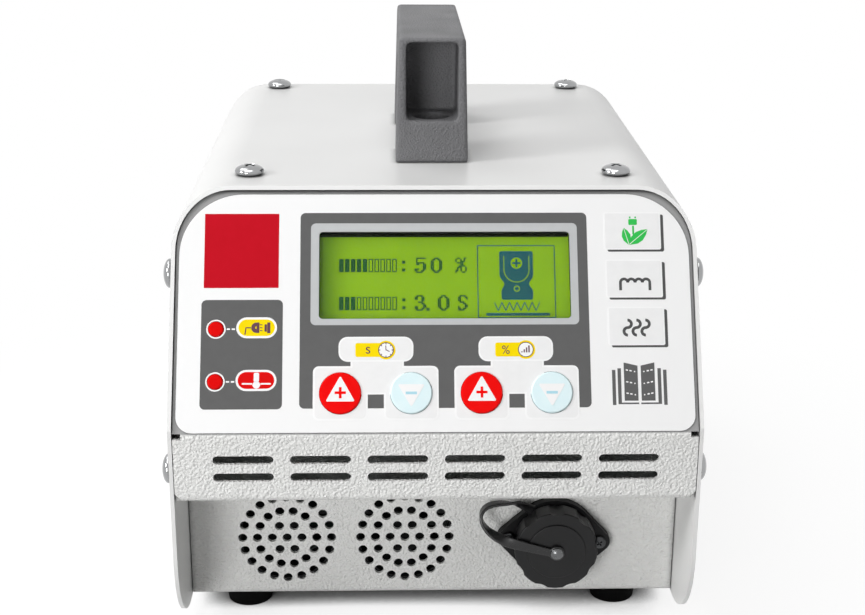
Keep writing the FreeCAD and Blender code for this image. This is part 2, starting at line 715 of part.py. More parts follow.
def control_overlay():
    """Printed label over the slanted face, with its window and the holes of keys and lamps."""
    top = SLOPE_LENGTH - OVERLAY_TOP_GAP
    points = [(-OVERLAY_HALF, OVERLAY_FOOT), (OVERLAY_HALF, OVERLAY_FOOT),
              (OVERLAY_HALF, top), (-OVERLAY_HALF, top)]
    radii = [OVERLAY_BOTTOM_CORNER, OVERLAY_BOTTOM_CORNER, OVERLAY_TOP_CORNER, OVERLAY_TOP_CORNER]
    label = plate(points, radii, (0, OVERLAY_SHEET))
    through = (-OVERRUN, OVERRUN)
    tools = [plate(rectangle(WINDOW_CENTRE, WINDOW_SIZE), WINDOW_CORNER, through)]
    for u in KEY_U:
        tools.append(rod(KEY_RADIUS + HOLE_GAP, Vec(u, KEY_V, -OVERRUN), Z_AXIS, 2 * OVERRUN))
    for u, v in LAMP_PLACES:
        tools.append(rod(LAMP_RADIUS + HOLE_GAP, Vec(u, v, -OVERRUN), Z_AXIS, 2 * OVERRUN))
    return on_slope(cut(label, tools))


def display_window():
    """Clear window, set into the front sheet behind the label."""
    size = [side + 2 * (WINDOW_LAP - HOLE_GAP) for side in WINDOW_SIZE]
    return on_slope(plate(rectangle(WINDOW_CENTRE, size), WINDOW_CORNER, (-WINDOW_SHEET, 0)))


def lcd_bezel():
    """Pressed metal frame round the display glass."""
    size = [side + 2 * BEZEL_MARGIN for side in WINDOW_SIZE]
    front = BEZEL_FRONT_N
    frame = plate(rectangle(WINDOW_CENTRE, size), WINDOW_CORNER, (front - BEZEL_DEPTH, front))
    inner = [side - 2 * BEZEL_SHEET for side in size]
    hollow = plate(rectangle(WINDOW_CENTRE, inner), 0, (front - BEZEL_DEPTH - OVERRUN, front - BEZEL_SHEET))
    opening = plate(rectangle(WINDOW_CENTRE, WINDOW_SIZE), 0, (front - BEZEL_DEPTH, front + OVERRUN))
    return on_slope(cut(frame, [hollow, opening]))


def lcd_glass():
    """Display glass inside its frame, lit from behind."""
    size = [side + 2 * (BEZEL_MARGIN - BEZEL_SHEET - FIT_GAP) for side in WINDOW_SIZE]
    front = BEZEL_FRONT_N - BEZEL_SHEET - FIT_GAP
    body = plate(rectangle(WINDOW_CENTRE, size), 0, (BEZEL_FRONT_N - BEZEL_DEPTH, front))
    return on_slope(body)


def lcd_board_span():
    """How the display board lies between its frame and the control board."""
    back = BEZEL_FRONT_N - BEZEL_DEPTH
    return back - BOARD_SHEET, back


def lcd_board():
    """Board of the display, with the pin header that joins it to the control board."""
    size = [side + 2 * (BEZEL_MARGIN + LCD_BOARD_MARGIN) for side in WINDOW_SIZE]
    size[1] = WINDOW_SIZE[1] + 2 * BEZEL_MARGIN
    low, high = lcd_board_span()
    board = plate(rectangle(WINDOW_CENTRE, size), 0, (low, high))
    top = WINDOW_CENTRE[1] + size[1] / 2 - HEADER_WIDTH
    header = box(span(WINDOW_CENTRE[0], HEADER_LENGTH), (top - HEADER_WIDTH, top), (BOARD_FRONT_N, low))
    return on_slope(fuse([board, header]))


def standoff_places():
    """Corners of the control board that stand on posts."""
    left, right = CONTROL_BOARD_U
    low, high = CONTROL_BOARD_V
    return [(u, v) for u in (left + STANDOFF_INSET, right - STANDOFF_INSET)
            for v in (low + STANDOFF_INSET, high - STANDOFF_INSET)]


def control_board():
    """Board that carries the switches and lamps, on four posts behind the face."""
    board = box(CONTROL_BOARD_U, CONTROL_BOARD_V, (BOARD_FRONT_N - BOARD_SHEET, BOARD_FRONT_N))
    holes = [rod(STUD_RADIUS + HOLE_GAP, Vec(u, v, BOARD_FRONT_N - BOARD_SHEET - OVERRUN), Z_AXIS,
                 BOARD_SHEET + 2 * OVERRUN) for u, v in standoff_places()]
    return on_slope(cut(board, holes))


def control_standoffs():
    """Four posts between the front sheet and the control board, each with its stud and nut."""
    posts = []
    nut_flats = 2 * STANDOFF_RADIUS
    for u, v in standoff_places():
        post = rod(STANDOFF_RADIUS, Vec(u, v, BOARD_FRONT_N), Z_AXIS, BOARD_DEPTH - SHEET)
        stud = rod(STUD_RADIUS, Vec(u, v, BOARD_FRONT_N - BOARD_SHEET), Z_AXIS, BOARD_SHEET)
        back = BOARD_FRONT_N - BOARD_SHEET
        nut = prism(NUT_SIDES, nut_flats, (back - SMALL_HEAD_HEIGHT, back))
        nut.translate(Vec(u, v, 0))
        posts.append(on_slope(fuse([post, stud, nut])))
    return group(posts)


def key_switches():
    """Tactile switches on the control board, one under each key."""
    top = BOARD_FRONT_N + SWITCH_HEIGHT
    bodies = []
    for u in KEY_U:
        base = box(span(u, SWITCH_SIZE), span(KEY_V, SWITCH_SIZE), (BOARD_FRONT_N, top - STUD_RADIUS / 2))
        button = rod(KEY_STEM, Vec(u, KEY_V, BOARD_FRONT_N), Z_AXIS, SWITCH_HEIGHT)
        bodies.append(on_slope(fuse([base, button])))
    return group(bodies)


def indicator_lamps():
    """Two round indicator lamps that stand through the label."""
    lamps = []
    top = OVERLAY_SHEET + LAMP_PROUD
    for u, v in LAMP_PLACES:
        lens = turned([(0, BOARD_FRONT_N), (LAMP_RADIUS + LAMP_BASE, BOARD_FRONT_N),
                       (LAMP_RADIUS + LAMP_BASE, BOARD_FRONT_N + LAMP_BASE),
                       (LAMP_RADIUS, BOARD_FRONT_N + LAMP_BASE),
                       (LAMP_RADIUS, top - LAMP_PROUD), (LAMP_RADIUS - LAMP_PROUD, top), (0, top)])
        lens.translate(Vec(u, v, 0))
        lamps.append(on_slope(lens))
    return group(lamps)


def key(u):
    """Round key cap with a retaining flange behind the sheet and a stem to its switch."""
    back = -SHEET - FIT_GAP
    flange = KEY_RADIUS + KEY_FLANGE
    top = OVERLAY_SHEET + KEY_PROUD
    stem_end = BOARD_FRONT_N + SWITCH_HEIGHT + KEY_TRAVEL + RUN_GAP
    neck = top - KEY_CROWN
    points = [(0, stem_end), (KEY_STEM, stem_end), (KEY_STEM, back - KEY_FLANGE_SHEET),
              (flange, back - KEY_FLANGE_SHEET), (flange, back), (KEY_RADIUS, back), (KEY_RADIUS, neck),
              (KEY_RADIUS - KEY_EDGE, neck + KEY_EDGE), (0, top)]
    cap = turned(points)
    cap.translate(Vec(u, KEY_V, 0))
    return on_slope(cap)


def tilted_reach(reach):
    """A place along the tilted long axis of the socket flange."""
    tilt = math.radians(FLANGE_TILT)
    return SOCKET_X + reach * math.cos(tilt), PORT_Z - reach * math.sin(tilt)


def socket_screw_places():
    """The two screw holes of the socket flange."""
    return [tilted_reach(-FLANGE_HOLE_REACH), tilted_reach(FLANGE_HOLE_REACH)]


def rhombic(grow, y_span):
    """Two-hole flange shape: a middle circle joined to two end circles by tangents."""
    middle = FLANGE_MIDDLE + grow
    tip = FLANGE_TIP + grow
    lean = math.acos((middle - tip) / FLANGE_HOLE_REACH)
    upper = [(middle * math.cos(lean), middle * math.sin(lean)),
             (FLANGE_HOLE_REACH + tip * math.cos(lean), tip * math.sin(lean))]
    corners = [upper[0], upper[1], (upper[1][0], -upper[1][1]), (upper[0][0], -upper[0][1]),
               (-upper[0][0], -upper[0][1]), (-upper[1][0], -upper[1][1]), (-upper[1][0], upper[1][1]),
               (-upper[0][0], upper[0][1])]
    body = plate(corners, 0, y_span, "xz")
    discs = [(middle, 0), (tip, FLANGE_HOLE_REACH), (tip, -FLANGE_HOLE_REACH)]
    depth = y_span[1] - y_span[0]
    body = fuse([body] + [rod(radius, Vec(x, y_span[0], 0), BACKWARD, depth) for radius, x in discs])
    body.rotate(Vec(0, 0, 0), BACKWARD, FLANGE_TILT)
    body.translate(Vec(SOCKET_X, 0, PORT_Z))
    return body


def socket_holes(radius):
    """Tools for the two screw holes of the flange."""
    return [rod(radius, Vec(x, FLANGE_FRONT_Y - OVERRUN, z), BACKWARD, RECESS_DEPTH)
            for x, z in socket_screw_places()]


def about_port(shape):
    """Move a shape drawn about Z, facing +Z out of the case, to the axis of the output socket."""
    return placed(shape, Vec(SOCKET_X, 0, PORT_Z), FORWARD)


def output_socket():
    """Black flange and barrel of the output socket, with its body behind the panel."""
    flange = cut(rhombic(0, (FLANGE_FRONT_Y, FLANGE_Y)), socket_holes(SMALL_SHANK + HOLE_GAP))
    barrel = rod(BARREL_RADIUS, Vec(SOCKET_X, BARREL_END_Y, PORT_Z), BACKWARD, FLANGE_Y - BARREL_END_Y)
    body = rod(SOCKET_BODY, Vec(SOCKET_X, FLANGE_Y, PORT_Z), BACKWARD, SOCKET_BODY_DEPTH)
    bore = rod(BARREL_RADIUS - BARREL_WALL, Vec(SOCKET_X, BARREL_END_Y - OVERRUN, PORT_Z), BACKWARD,
               RECESS_DEPTH + SOCKET_BODY_DEPTH)
    return cut(fuse([flange, barrel, body]), [bore])


def socket_gasket():
    """Thin rubber gasket between the flange and the panel."""
    body = rhombic(0, (FLANGE_Y, RECESS_DEPTH))
    hole = rod(SOCKET_BODY + HOLE_GAP, Vec(SOCKET_X, 0, PORT_Z), BACKWARD, LOWER_BACK_Y)
    return cut(body, [hole] + socket_holes(SMALL_SHANK + HOLE_GAP))


def contact_places():
    """Contacts on their circle, in (x, z)."""
    circle = on_circle(CONTACT_CIRCLE, CONTACT_COUNT, math.pi / CONTACT_COUNT)
    return [(SOCKET_X + x, PORT_Z + z) for x, z in circle]


def socket_insert():
    """Insulating insert that holds the contacts."""
    front = BARREL_END_Y + INSERT_RECESS
    disc = rod(BARREL_RADIUS - BARREL_WALL - RUN_GAP, Vec(SOCKET_X, front, PORT_Z), BACKWARD, INSERT_DEPTH)
    holes = [rod(CONTACT_RADIUS + RUN_GAP, Vec(x, front - OVERRUN, z), BACKWARD, INSERT_DEPTH + 2 * OVERRUN)
             for x, z in contact_places()]
    return cut(disc, holes)


def socket_contacts():
    """Turned contacts through the insert, with solder tails."""
    front = BARREL_END_Y + INSERT_RECESS - CONTACT_PROUD
    length = CONTACT_PROUD + INSERT_DEPTH + CONTACT_TAIL
    return group([rod(CONTACT_RADIUS, Vec(x, front, z), BACKWARD, length) for x, z in contact_places()])


def socket_screws():
    """Two screws that hold the flange to the panel."""
    length = LOWER_BACK_Y - FLANGE_FRONT_Y
    one = screw(SMALL_HEAD, SMALL_HEAD_HEIGHT, SMALL_SHANK, length)
    return group([placed(one, Vec(x, FLANGE_FRONT_Y, z), FORWARD) for x, z in socket_screw_places()])


def screw_cap():
    """Scalloped cap with a raised face, a threaded bore and the hole of its rivet."""
    bore = BARREL_RADIUS + FIT_GAP
    raised = CAP_RADIUS * CAP_RAISED_SHARE
    points = [(RIVET_SHANK + RUN_GAP, -CAP_INNER_Y), (bore, -CAP_INNER_Y), (bore, -CAP_BACK_Y),
              (CAP_RADIUS, -CAP_BACK_Y), (CAP_RADIUS, -CAP_RIM_Y), (raised, -CAP_RIM_Y),
              (raised, -CAP_FRONT_Y), (RIVET_SHANK + RUN_GAP, -CAP_FRONT_Y)]
    radii = [0, 0, 0, CAP_RIM_DROP, CAP_RIM_DROP, 0, CAP_RIM_DROP / 2, 0]
    cap = turned(points, radii)
    reach = CAP_RADIUS + SCALLOP_RADIUS - SCALLOP_DEPTH
    tools = [rod(SCALLOP_RADIUS, Vec(x, y, -CAP_BACK_Y - OVERRUN), Z_AXIS, CAP_BACK_Y)
             for x, y in on_circle(reach, CAP_SCALLOPS, math.pi / 2)]
    return about_port(cut(cap, tools))


def cap_seal():
    """Rubber ring inside the cap."""
    outer = BARREL_RADIUS - RUN_GAP
    return about_port(ring(outer, outer - SEAL_WIDTH, (-CAP_INNER_Y - SEAL_SHEET, -CAP_INNER_Y)))


def cap_rivet():
    """Rivet through the cap, on which the strap's eye and the cap turn."""
    tail = -CAP_INNER_Y - RUN_GAP
    head = -EYE_FRONT_Y + RUN_GAP
    dome = screw(RIVET_HEAD, RIVET_HEAD_HEIGHT, RIVET_SHANK, head - tail)
    dome.translate(Vec(0, 0, head))
    foot = rod(RIVET_TAIL, Vec(0, 0, tail - RIVET_TAIL_HEIGHT), Z_AXIS, RIVET_TAIL_HEIGHT)
    return about_port(fuse([dome, foot]))


def ruled_solid(sections):
    """Solid through four-cornered sections, each corner joined straight to the next section's."""
    faces = [Part.Face(Part.makePolygon(ends + ends[:1])) for ends in (sections[0], sections[-1])]
    for near, far in zip(sections, sections[1:]):
        for i, corner in enumerate(near):
            start = Part.LineSegment(near[i - 1], corner).toShape()
            end = Part.LineSegment(far[i - 1], far[i]).toShape()
            faces.append(Part.makeRuledSurface(start, end))
    shell = Part.makeShell(faces)
    shell.sewShape()
    solid = Part.makeSolid(shell)
    solid.fix(TOUCH, TOUCH, TOUCH)
    return solid if solid.Volume > 0 else solid.reversed()


def cap_strap():
    """Flat strap that keeps the cap: an eye at the rivet, a loop and a ring round the barrel."""
    eye_y = EYE_BACK_Y - STRAP_SHEET / 2
    ring_y = STRAP_RING_Y + STRAP_RING_SHEET / 2
    middles = [Vec(SOCKET_X + x * CAP_RADIUS, eye_y + (ring_y - eye_y) * y, PORT_Z + z * CAP_RADIUS)
               for x, z, y, turn in STRAP_STATION_SHARES]
    sections = []
    for i, middle in enumerate(middles):
        ahead = (middles[min(i + 1, len(middles) - 1)] - middles[max(i - 1, 0)]).normalize()
        depth = STRAP_STATION_SHARES[i][2]
        turn = STRAP_STATION_SHARES[i][3] * math.pi / 2
        flat = ahead.cross(BACKWARD).normalize()
        across = flat * math.cos(turn) + BACKWARD * math.sin(turn)
        across = (across - ahead * across.dot(ahead)).normalize() * (STRAP_WIDTH / 2)
        thickness = STRAP_SHEET + (STRAP_RING_SHEET - STRAP_SHEET) * depth
        through = ahead.cross(across).normalize() * (thickness * STRAP_BAND_SHARE / 2)
        corners = [middle + across + through, middle - across + through,
                   middle - across - through, middle + across - through]
        sections.append(corners)
    band = ruled_solid(sections)
    eye = about_port(ring(STRAP_EYE, RIVET_SHANK + RUN_GAP, (-EYE_BACK_Y, -EYE_FRONT_Y)))
    inner = BARREL_RADIUS + RUN_GAP
    collar = about_port(ring(inner + STRAP_RING_WIDTH, inner, (-FLANGE_FRONT_Y, -STRAP_RING_Y)))
    bore = rod(inner, Vec(SOCKET_X, STRAP_RING_Y - OVERRUN, PORT_Z), BACKWARD,
               STRAP_RING_SHEET + 2 * OVERRUN)
    shank = rod(RIVET_SHANK + RUN_GAP, Vec(SOCKET_X, EYE_FRONT_Y - OVERRUN, PORT_Z), BACKWARD,
                STRAP_SHEET + 2 * OVERRUN)
    return cut(fuse([band, eye, collar]), [bore, shank])


def fan_frame(fan_x):
    """Square fan frame with its bore, four screw holes and the struts of its motor."""
    middle = (fan_x, PORT_Z)
    y_span = (FAN_FRONT_Y, FAN_BACK_Y)
    frame = plate(rectangle(middle, (FAN_SIZE, FAN_SIZE)), FAN_CORNER, y_span, "xz")
    bore = rod(FAN_BORE, Vec(fan_x, FAN_FRONT_Y - OVERRUN, PORT_Z), BACKWARD, FAN_DEPTH + 2 * OVERRUN)
    frame = cut(frame, [bore] + fan_holes(fan_x, FAN_HOLE, FAN_FRONT_Y - OVERRUN, FAN_DEPTH + 2 * OVERRUN))
    back = (FAN_BACK_Y - FAN_BACK, FAN_BACK_Y)
    reach = FAN_SIZE - TOUCH
    struts = [box(span(fan_x, reach), back, span(PORT_Z, FAN_STRUT)),
              box(span(fan_x, FAN_STRUT), back, span(PORT_Z, reach))]
    motor = rod(FAN_HUB, Vec(fan_x, back[0], PORT_Z), BACKWARD, FAN_BACK)
    start = Vec(fan_x, back[0] - OVERRUN, PORT_Z)
    shaft = rod(FAN_SHAFT + RUN_GAP, start, BACKWARD, FAN_BACK + 2 * OVERRUN)
    return cut(fuse([frame, motor] + struts), [shaft])


def fan_holes(fan_x, radius, start_y, length):
    """Rods at the four corner holes of a fan."""
    reach = FAN_HOLE_SPACING / 2
    return [rod(radius, Vec(fan_x + x, start_y, PORT_Z + z), BACKWARD, length)
            for x in (-reach, reach) for z in (-reach, reach)]


def fan_rotor(fan_x):
    """Hub with twisted blades and the shaft that runs in the frame."""
    hub_back = FAN_BACK_Y - FAN_BACK - FAN_TIP_GAP
    hub_front = hub_back - FAN_HUB_DEPTH
    hub = rod(FAN_HUB, Vec(0, hub_front, 0), BACKWARD, FAN_HUB_DEPTH)
    shaft = rod(FAN_SHAFT, Vec(0, hub_back, 0), BACKWARD, FAN_BACK)
    middle_y = (hub_front + hub_back) / 2
    pieces = [hub, shaft]
    for i in range(FAN_BLADES):
        sections = []
        for radius, angle in ((FAN_HUB - BLADE_THICKNESS, BLADE_ROOT_ANGLE),
                              (FAN_BORE - FAN_TIP_GAP, BLADE_TIP_ANGLE)):
            lean = math.radians(angle)
            along = Vec(math.cos(lean), math.sin(lean), 0) * (BLADE_CHORD / 2)
            thick = Vec(-math.sin(lean), math.cos(lean), 0) * (BLADE_THICKNESS / 2)
            middle = Vec(0, middle_y, radius)
            corners = [middle + along + thick, middle - along + thick,
                       middle - along - thick, middle + along - thick]
            sections.append(Part.makePolygon(corners + corners[:1]))
        blade = Part.makeLoft(sections, True, True)
        blade.rotate(Vec(0, 0, 0), BACKWARD, 360 * i / FAN_BLADES)
        pieces.append(blade)
    rotor = pieces[0].fuse(pieces[1:])
    outside = rod(FAN_BORE - FAN_TIP_GAP, Vec(0, hub_front, 0), BACKWARD, FAN_DEPTH)
    rotor = rotor.common(outside)
    rotor.translate(Vec(fan_x, 0, PORT_Z))
    return rotor


def fan_bracket():
    """Bent sheet behind both fans, standing on the lap of the tray."""
    left = FAN_X[0] - FAN_SIZE / 2
    right = FAN_X[-1] + FAN_SIZE / 2
    middle_y = FAN_BACK_Y + SHEET / 2
    low_z = LAP_TOP_Z + SHEET / 2
    path = [(BRACKET_BACK_Y + FLANGE, low_z), (middle_y, low_z), (middle_y, PORT_Z + FAN_SIZE / 2)]
    bracket = sheet(path, SHEET, SHEET_BEND, (left, right))
    tools = []
    for fan_x in FAN_X:
        tools.append(rod(FAN_BORE, Vec(fan_x, FAN_BACK_Y - OVERRUN, PORT_Z), BACKWARD, SHEET + 2 * OVERRUN))
        tools += fan_holes(fan_x, FAN_HOLE, FAN_BACK_Y - OVERRUN, SHEET + 2 * OVERRUN)
    return cut(bracket, tools)


def fan_screws():
    """Eight long screws through the bracket and the fans."""
    one = screw(SMALL_HEAD, SMALL_HEAD_HEIGHT, SMALL_SHANK, SHEET + FAN_DEPTH)
    reach = FAN_HOLE_SPACING / 2
    return group([placed(one, Vec(fan_x + x, BRACKET_BACK_Y, PORT_Z + z), BACKWARD)
                  for fan_x in FAN_X for x in (-reach, reach) for z in (-reach, reach)])


def handle():
    """Moulded bridge handle: two hollow legs with screw pockets and a grip over a finger gap."""
    half_base = HANDLE_BASE_WIDTH / 2
    half_top = HANDLE_TOP_WIDTH / 2
    section = [(-half_base, TOP_Z), (half_base, TOP_Z), (half_top, HANDLE_TOP_Z), (-half_top, HANDLE_TOP_Z)]
    body = plate(section, 0, (HANDLE_FRONT_Y, HANDLE_REAR_Y), "xz")
    edges = [edge for edge in body.Edges if edge.BoundBox.ZMin > HANDLE_TOP_Z - TOUCH]
    body = body.makeFillet(HANDLE_EDGE, edges)
    sides = [edge for edge in body.Edges if edge.BoundBox.ZLength > HANDLE_HEIGHT / 2]
    body = body.makeFillet(HANDLE_EDGE / 2, sides)
    gap_top = HANDLE_TOP_Z - HANDLE_GRIP
    gap = [(HANDLE_FRONT_Y + HANDLE_LEG, TOP_Z - OVERRUN), (HANDLE_REAR_Y - HANDLE_LEG, TOP_Z - OVERRUN),
           (HANDLE_REAR_Y - HANDLE_LEG, gap_top), (HANDLE_FRONT_Y + HANDLE_LEG, gap_top)]
    tools = [plate(gap, [0, 0, HANDLE_INNER_ROUND, HANDLE_INNER_ROUND], (-HALF, HALF), "yz")]
    pocket_half = half_top - POCKET_SIDE_WALL
    pocket = [(-pocket_half, TOP_Z + POCKET_FLOOR), (pocket_half, TOP_Z + POCKET_FLOOR),
              (pocket_half, HANDLE_TOP_Z - POCKET_TOP_WALL), (-pocket_half, HANDLE_TOP_Z - POCKET_TOP_WALL)]
    radii = [0, 0, POCKET_CORNER, POCKET_CORNER]
    reach = HANDLE_LEG - POCKET_BACK_WALL
    tools.append(plate(pocket, radii, (HANDLE_FRONT_Y - OVERRUN, HANDLE_FRONT_Y + reach), "xz"))
    tools.append(plate(pocket, radii, (HANDLE_REAR_Y - reach, HANDLE_REAR_Y + OVERRUN), "xz"))
    for place in handle_screw_places():
        tools.append(rod(COUNTERBORE, place + Z_AXIS * COUNTERBORE_FLOOR, Z_AXIS, POCKET_FLOOR))
        tools.append(rod(HANDLE_SCREW_SHANK + HOLE_GAP, place + DOWN * OVERRUN, Z_AXIS, POCKET_FLOOR))
    return cut(body, tools)


def handle_screws():
    """Two screws down through the handle's legs and the cover."""
    length = COUNTERBORE_FLOOR + COVER_SHEET + NUT_HEIGHT + SHEET
    one = screw(HANDLE_SCREW_HEAD, HANDLE_SCREW_HEAD_HEIGHT, HANDLE_SCREW_SHANK, length)
    floor = Z_AXIS * COUNTERBORE_FLOOR
    return group([placed(one, place + floor, Z_AXIS) for place in handle_screw_places()])


def handle_nuts():
    """Hexagon nuts under the cover."""
    nut = prism(NUT_SIDES, NUT_FLATS + 2 * SHEET, (-NUT_HEIGHT, 0))
    nut = cut(nut, [rod(HANDLE_SCREW_SHANK + RUN_GAP, Vec(0, 0, -NUT_HEIGHT - OVERRUN), Z_AXIS,
                        NUT_HEIGHT + 2 * OVERRUN)])
    return group([placed(nut, place + DOWN * COVER_SHEET, Z_AXIS) for place in handle_screw_places()])


def case_screws():
    """Domed screws of the cover: four on the top and four on each side."""
    one = screw(CASE_SCREW_HEAD, CASE_SCREW_HEAD_HEIGHT, CASE_SCREW_SHANK, CASE_SCREW_LENGTH)
    return group([placed(one, point, axis) for point, axis in case_screw_places()])


def foot_places():
    """Middles of the four feet, in (x, y)."""
    return [(x, y) for x in (-FOOT_X, FOOT_X) for y in (RECESS_DEPTH + FOOT_INSET_Y, REAR_Y - FOOT_INSET_Y)]


def foot_screw_holes():
    """Tools for the foot screws' holes in the tray and the flanges that lie on it."""
    return [rod(SMALL_SHANK + HOLE_GAP, Vec(x, y, 0), Z_AXIS, FLOOR_Z + FLANGE) for x, y in foot_places()]


def feet():
    """Four turned rubber feet, hollow for their screws."""
    points = [(SMALL_SHANK + HOLE_GAP, FOOT_FLOOR), (FOOT_BORE, FOOT_FLOOR), (FOOT_BORE, 0),
              (FOOT_RADIUS - FOOT_TAPER, 0), (FOOT_RADIUS, FOOT_HEIGHT),
              (SMALL_SHANK + HOLE_GAP, FOOT_HEIGHT)]
    foot = turned(points, [0, 0, 0, FOOT_TAPER / 2, FOOT_TAPER / 2, 0])
    return group([placed(foot, Vec(x, y, 0), Z_AXIS) for x, y in foot_places()])


def foot_screws():
    """Screws up through the feet into the tray."""
    length = FOOT_HEIGHT - FOOT_FLOOR + 2 * SHEET + SMALL_HEAD_HEIGHT
    one = screw(SMALL_HEAD, SMALL_HEAD_HEIGHT, SMALL_SHANK, length)
    return group([placed(one, Vec(x, y, FOOT_FLOOR), DOWN) for x, y in foot_places()])


def power_board():
    """Main board on posts over the tray."""
    return box((-POWER_BOARD_HALF, POWER_BOARD_HALF), (POWER_BOARD_FRONT, POWER_BOARD_REAR),
               (POWER_BOARD_Z, POWER_TOP_Z))


def across_board(widths):
    """Middles of pieces of these widths, in a row across the board with equal gaps."""
    gap = (2 * POWER_BOARD_HALF - sum(widths)) / (len(widths) + 1)
    middles = []
    edge = -POWER_BOARD_HALF
    for width in widths:
        middles.append(edge + gap + width / 2)
        edge += gap + width
    return middles


def front_row():
    """Middles of the heat sink and of the coil and capacitors beside it."""
    clamped = TRANSISTOR_SIZE[0]
    capacitors = FILM_CAP_SIZE[0] + FILM_CAP_PITCH * (FILM_CAP_COUNT - 1)
    sink, coil = across_board([clamped + HEATSINK_SIZE[0], capacitors])
    return sink + clamped / 2, coil


def rear_row():
    """Middles of the choke, the rectifier, the two smoothing capacitors and the relay."""
    return across_board([2 * (CHOKE_RADIUS + CHOKE_WIRE), BRIDGE_SIZE[0],
                         2 * BUS_CAP_RADIUS + BUS_CAP_PITCH, RELAY_SIZE[0]])


def board_posts():
    """Four posts under the power board."""
    reach = POWER_BOARD_HALF - FOOT_RADIUS
    places = [(x, y) for x in (-reach, reach)
              for y in (POWER_BOARD_FRONT + FOOT_RADIUS, POWER_BOARD_REAR - FOOT_RADIUS)]
    return group([rod(STANDOFF_RADIUS, Vec(x, y, FLOOR_Z), Z_AXIS, POWER_BOARD_LIFT) for x, y in places])


def heatsink():
    """Extruded heat sink with upright fins along the fans' air."""
    width, length, height = HEATSINK_SIZE
    left, right = span(front_row()[0], width)
    pitch = (width - HEATSINK_FIN) / (HEATSINK_FINS - 1)
    root_z = POWER_TOP_Z + HEATSINK_BASE
    top_z = POWER_TOP_Z + height
    points = [(left, POWER_TOP_Z), (right, POWER_TOP_Z)]
    for i in reversed(range(HEATSINK_FINS)):
        fin = left + i * pitch
        points += [(fin + HEATSINK_FIN, root_z), (fin + HEATSINK_FIN, top_z), (fin, top_z), (fin, root_z)]
    points = [point for point in points if point not in ((right, root_z), (left, root_z))]
    return plate(points, 0, span(HEATSINK_Y, length), "xz")


def transistors():
    """Power transistors clamped to the side of the heat sink, legs in the board."""
    thick, width, height = TRANSISTOR_SIZE
    side = front_row()[0] - HEATSINK_SIZE[0] / 2
    first = HEATSINK_Y - TRANSISTOR_PITCH * (TRANSISTOR_COUNT - 1) / 2
    low = POWER_TOP_Z + TRANSISTOR_LIFT
    bodies = []
    for i in range(TRANSISTOR_COUNT):
        y = first + i * TRANSISTOR_PITCH
        body = box((side - thick, side), span(y, width), (low, low + height))
        legs = []
        for step in TRANSISTOR_LEG_STEPS:
            leg_y = y + step * width * TRANSISTOR_LEG_STEP_SHARE
            legs.append(box(span(side - thick / 2, TRANSISTOR_LEG[0]), span(leg_y, TRANSISTOR_LEG[1]),
                            (POWER_TOP_Z, low)))
        bodies.append(fuse([body] + legs))
    return group(bodies)


def bus_capacitors():
    """Two smoothing capacitors standing on the board."""
    radii = [0, 0, BUS_CAP_ROUND, 0]
    points = [(0, 0), (BUS_CAP_RADIUS, 0), (BUS_CAP_RADIUS, BUS_CAP_HEIGHT), (0, BUS_CAP_HEIGHT)]
    can = turned(points, radii)
    middle = rear_row()[2]
    return group([placed(can, Vec(middle + side * BUS_CAP_PITCH / 2, REAR_ROW_Y, POWER_TOP_Z), Z_AXIS)
                  for side in (-1, 1)])


def film_capacitors():
    """Boxed film capacitors of the resonant circuit."""
    width, length, height = FILM_CAP_SIZE
    first = front_row()[1] - FILM_CAP_PITCH * (FILM_CAP_COUNT - 1) / 2
    z_span = (POWER_TOP_Z, POWER_TOP_Z + height)
    return group([box(span(first + i * FILM_CAP_PITCH, width), span(FILM_CAP_Y, length), z_span)
                  for i in range(FILM_CAP_COUNT)])


def transformer_core():
    """Ferrite core with a middle leg inside the winding."""
    width, depth, height = CORE_SIZE
    x, y = front_row()[1], CORE_Y
    body = box(span(x, width), span(y, depth), (POWER_TOP_Z, POWER_TOP_Z + height))
    gap = (width - CORE_CENTRE_LEG - 2 * CORE_YOKE) / 2
    tools = [box(span(x + side * (CORE_CENTRE_LEG + gap) / 2, gap), span(y, depth + 2 * OVERRUN),
                 (POWER_TOP_Z + CORE_YOKE, POWER_TOP_Z + height - CORE_YOKE)) for side in (-1, 1)]
    return cut(body, tools)


def transformer_winding():
    """Taped winding round the middle leg."""
    x, y = front_row()[1], CORE_Y
    gap = (CORE_SIZE[0] - CORE_CENTRE_LEG - 2 * CORE_YOKE) / 2
    wall = min(WINDING_WALL, gap - FIT_GAP)
    inner = (CORE_CENTRE_LEG + 2 * FIT_GAP, CORE_SIZE[1] + 2 * FIT_GAP)
    outer = (inner[0] + 2 * (wall - FIT_GAP), inner[1] + 2 * wall)
    z_span = (POWER_TOP_Z + CORE_YOKE + FIT_GAP, POWER_TOP_Z + CORE_SIZE[2] - CORE_YOKE - FIT_GAP)
    body = plate(rectangle((x, y), outer), WINDING_ROUND, z_span)
    return cut(body, [plate(rectangle((x, y), inner), 0, (0, z_span[1] + OVERRUN))])


def choke_core():
    """Ring core of the mains filter choke."""
    core = ring(CHOKE_RADIUS, CHOKE_BORE, (0, CHOKE_HEIGHT))
    core.translate(Vec(rear_row()[0], REAR_ROW_Y, POWER_TOP_Z + CHOKE_WIRE))
    return core


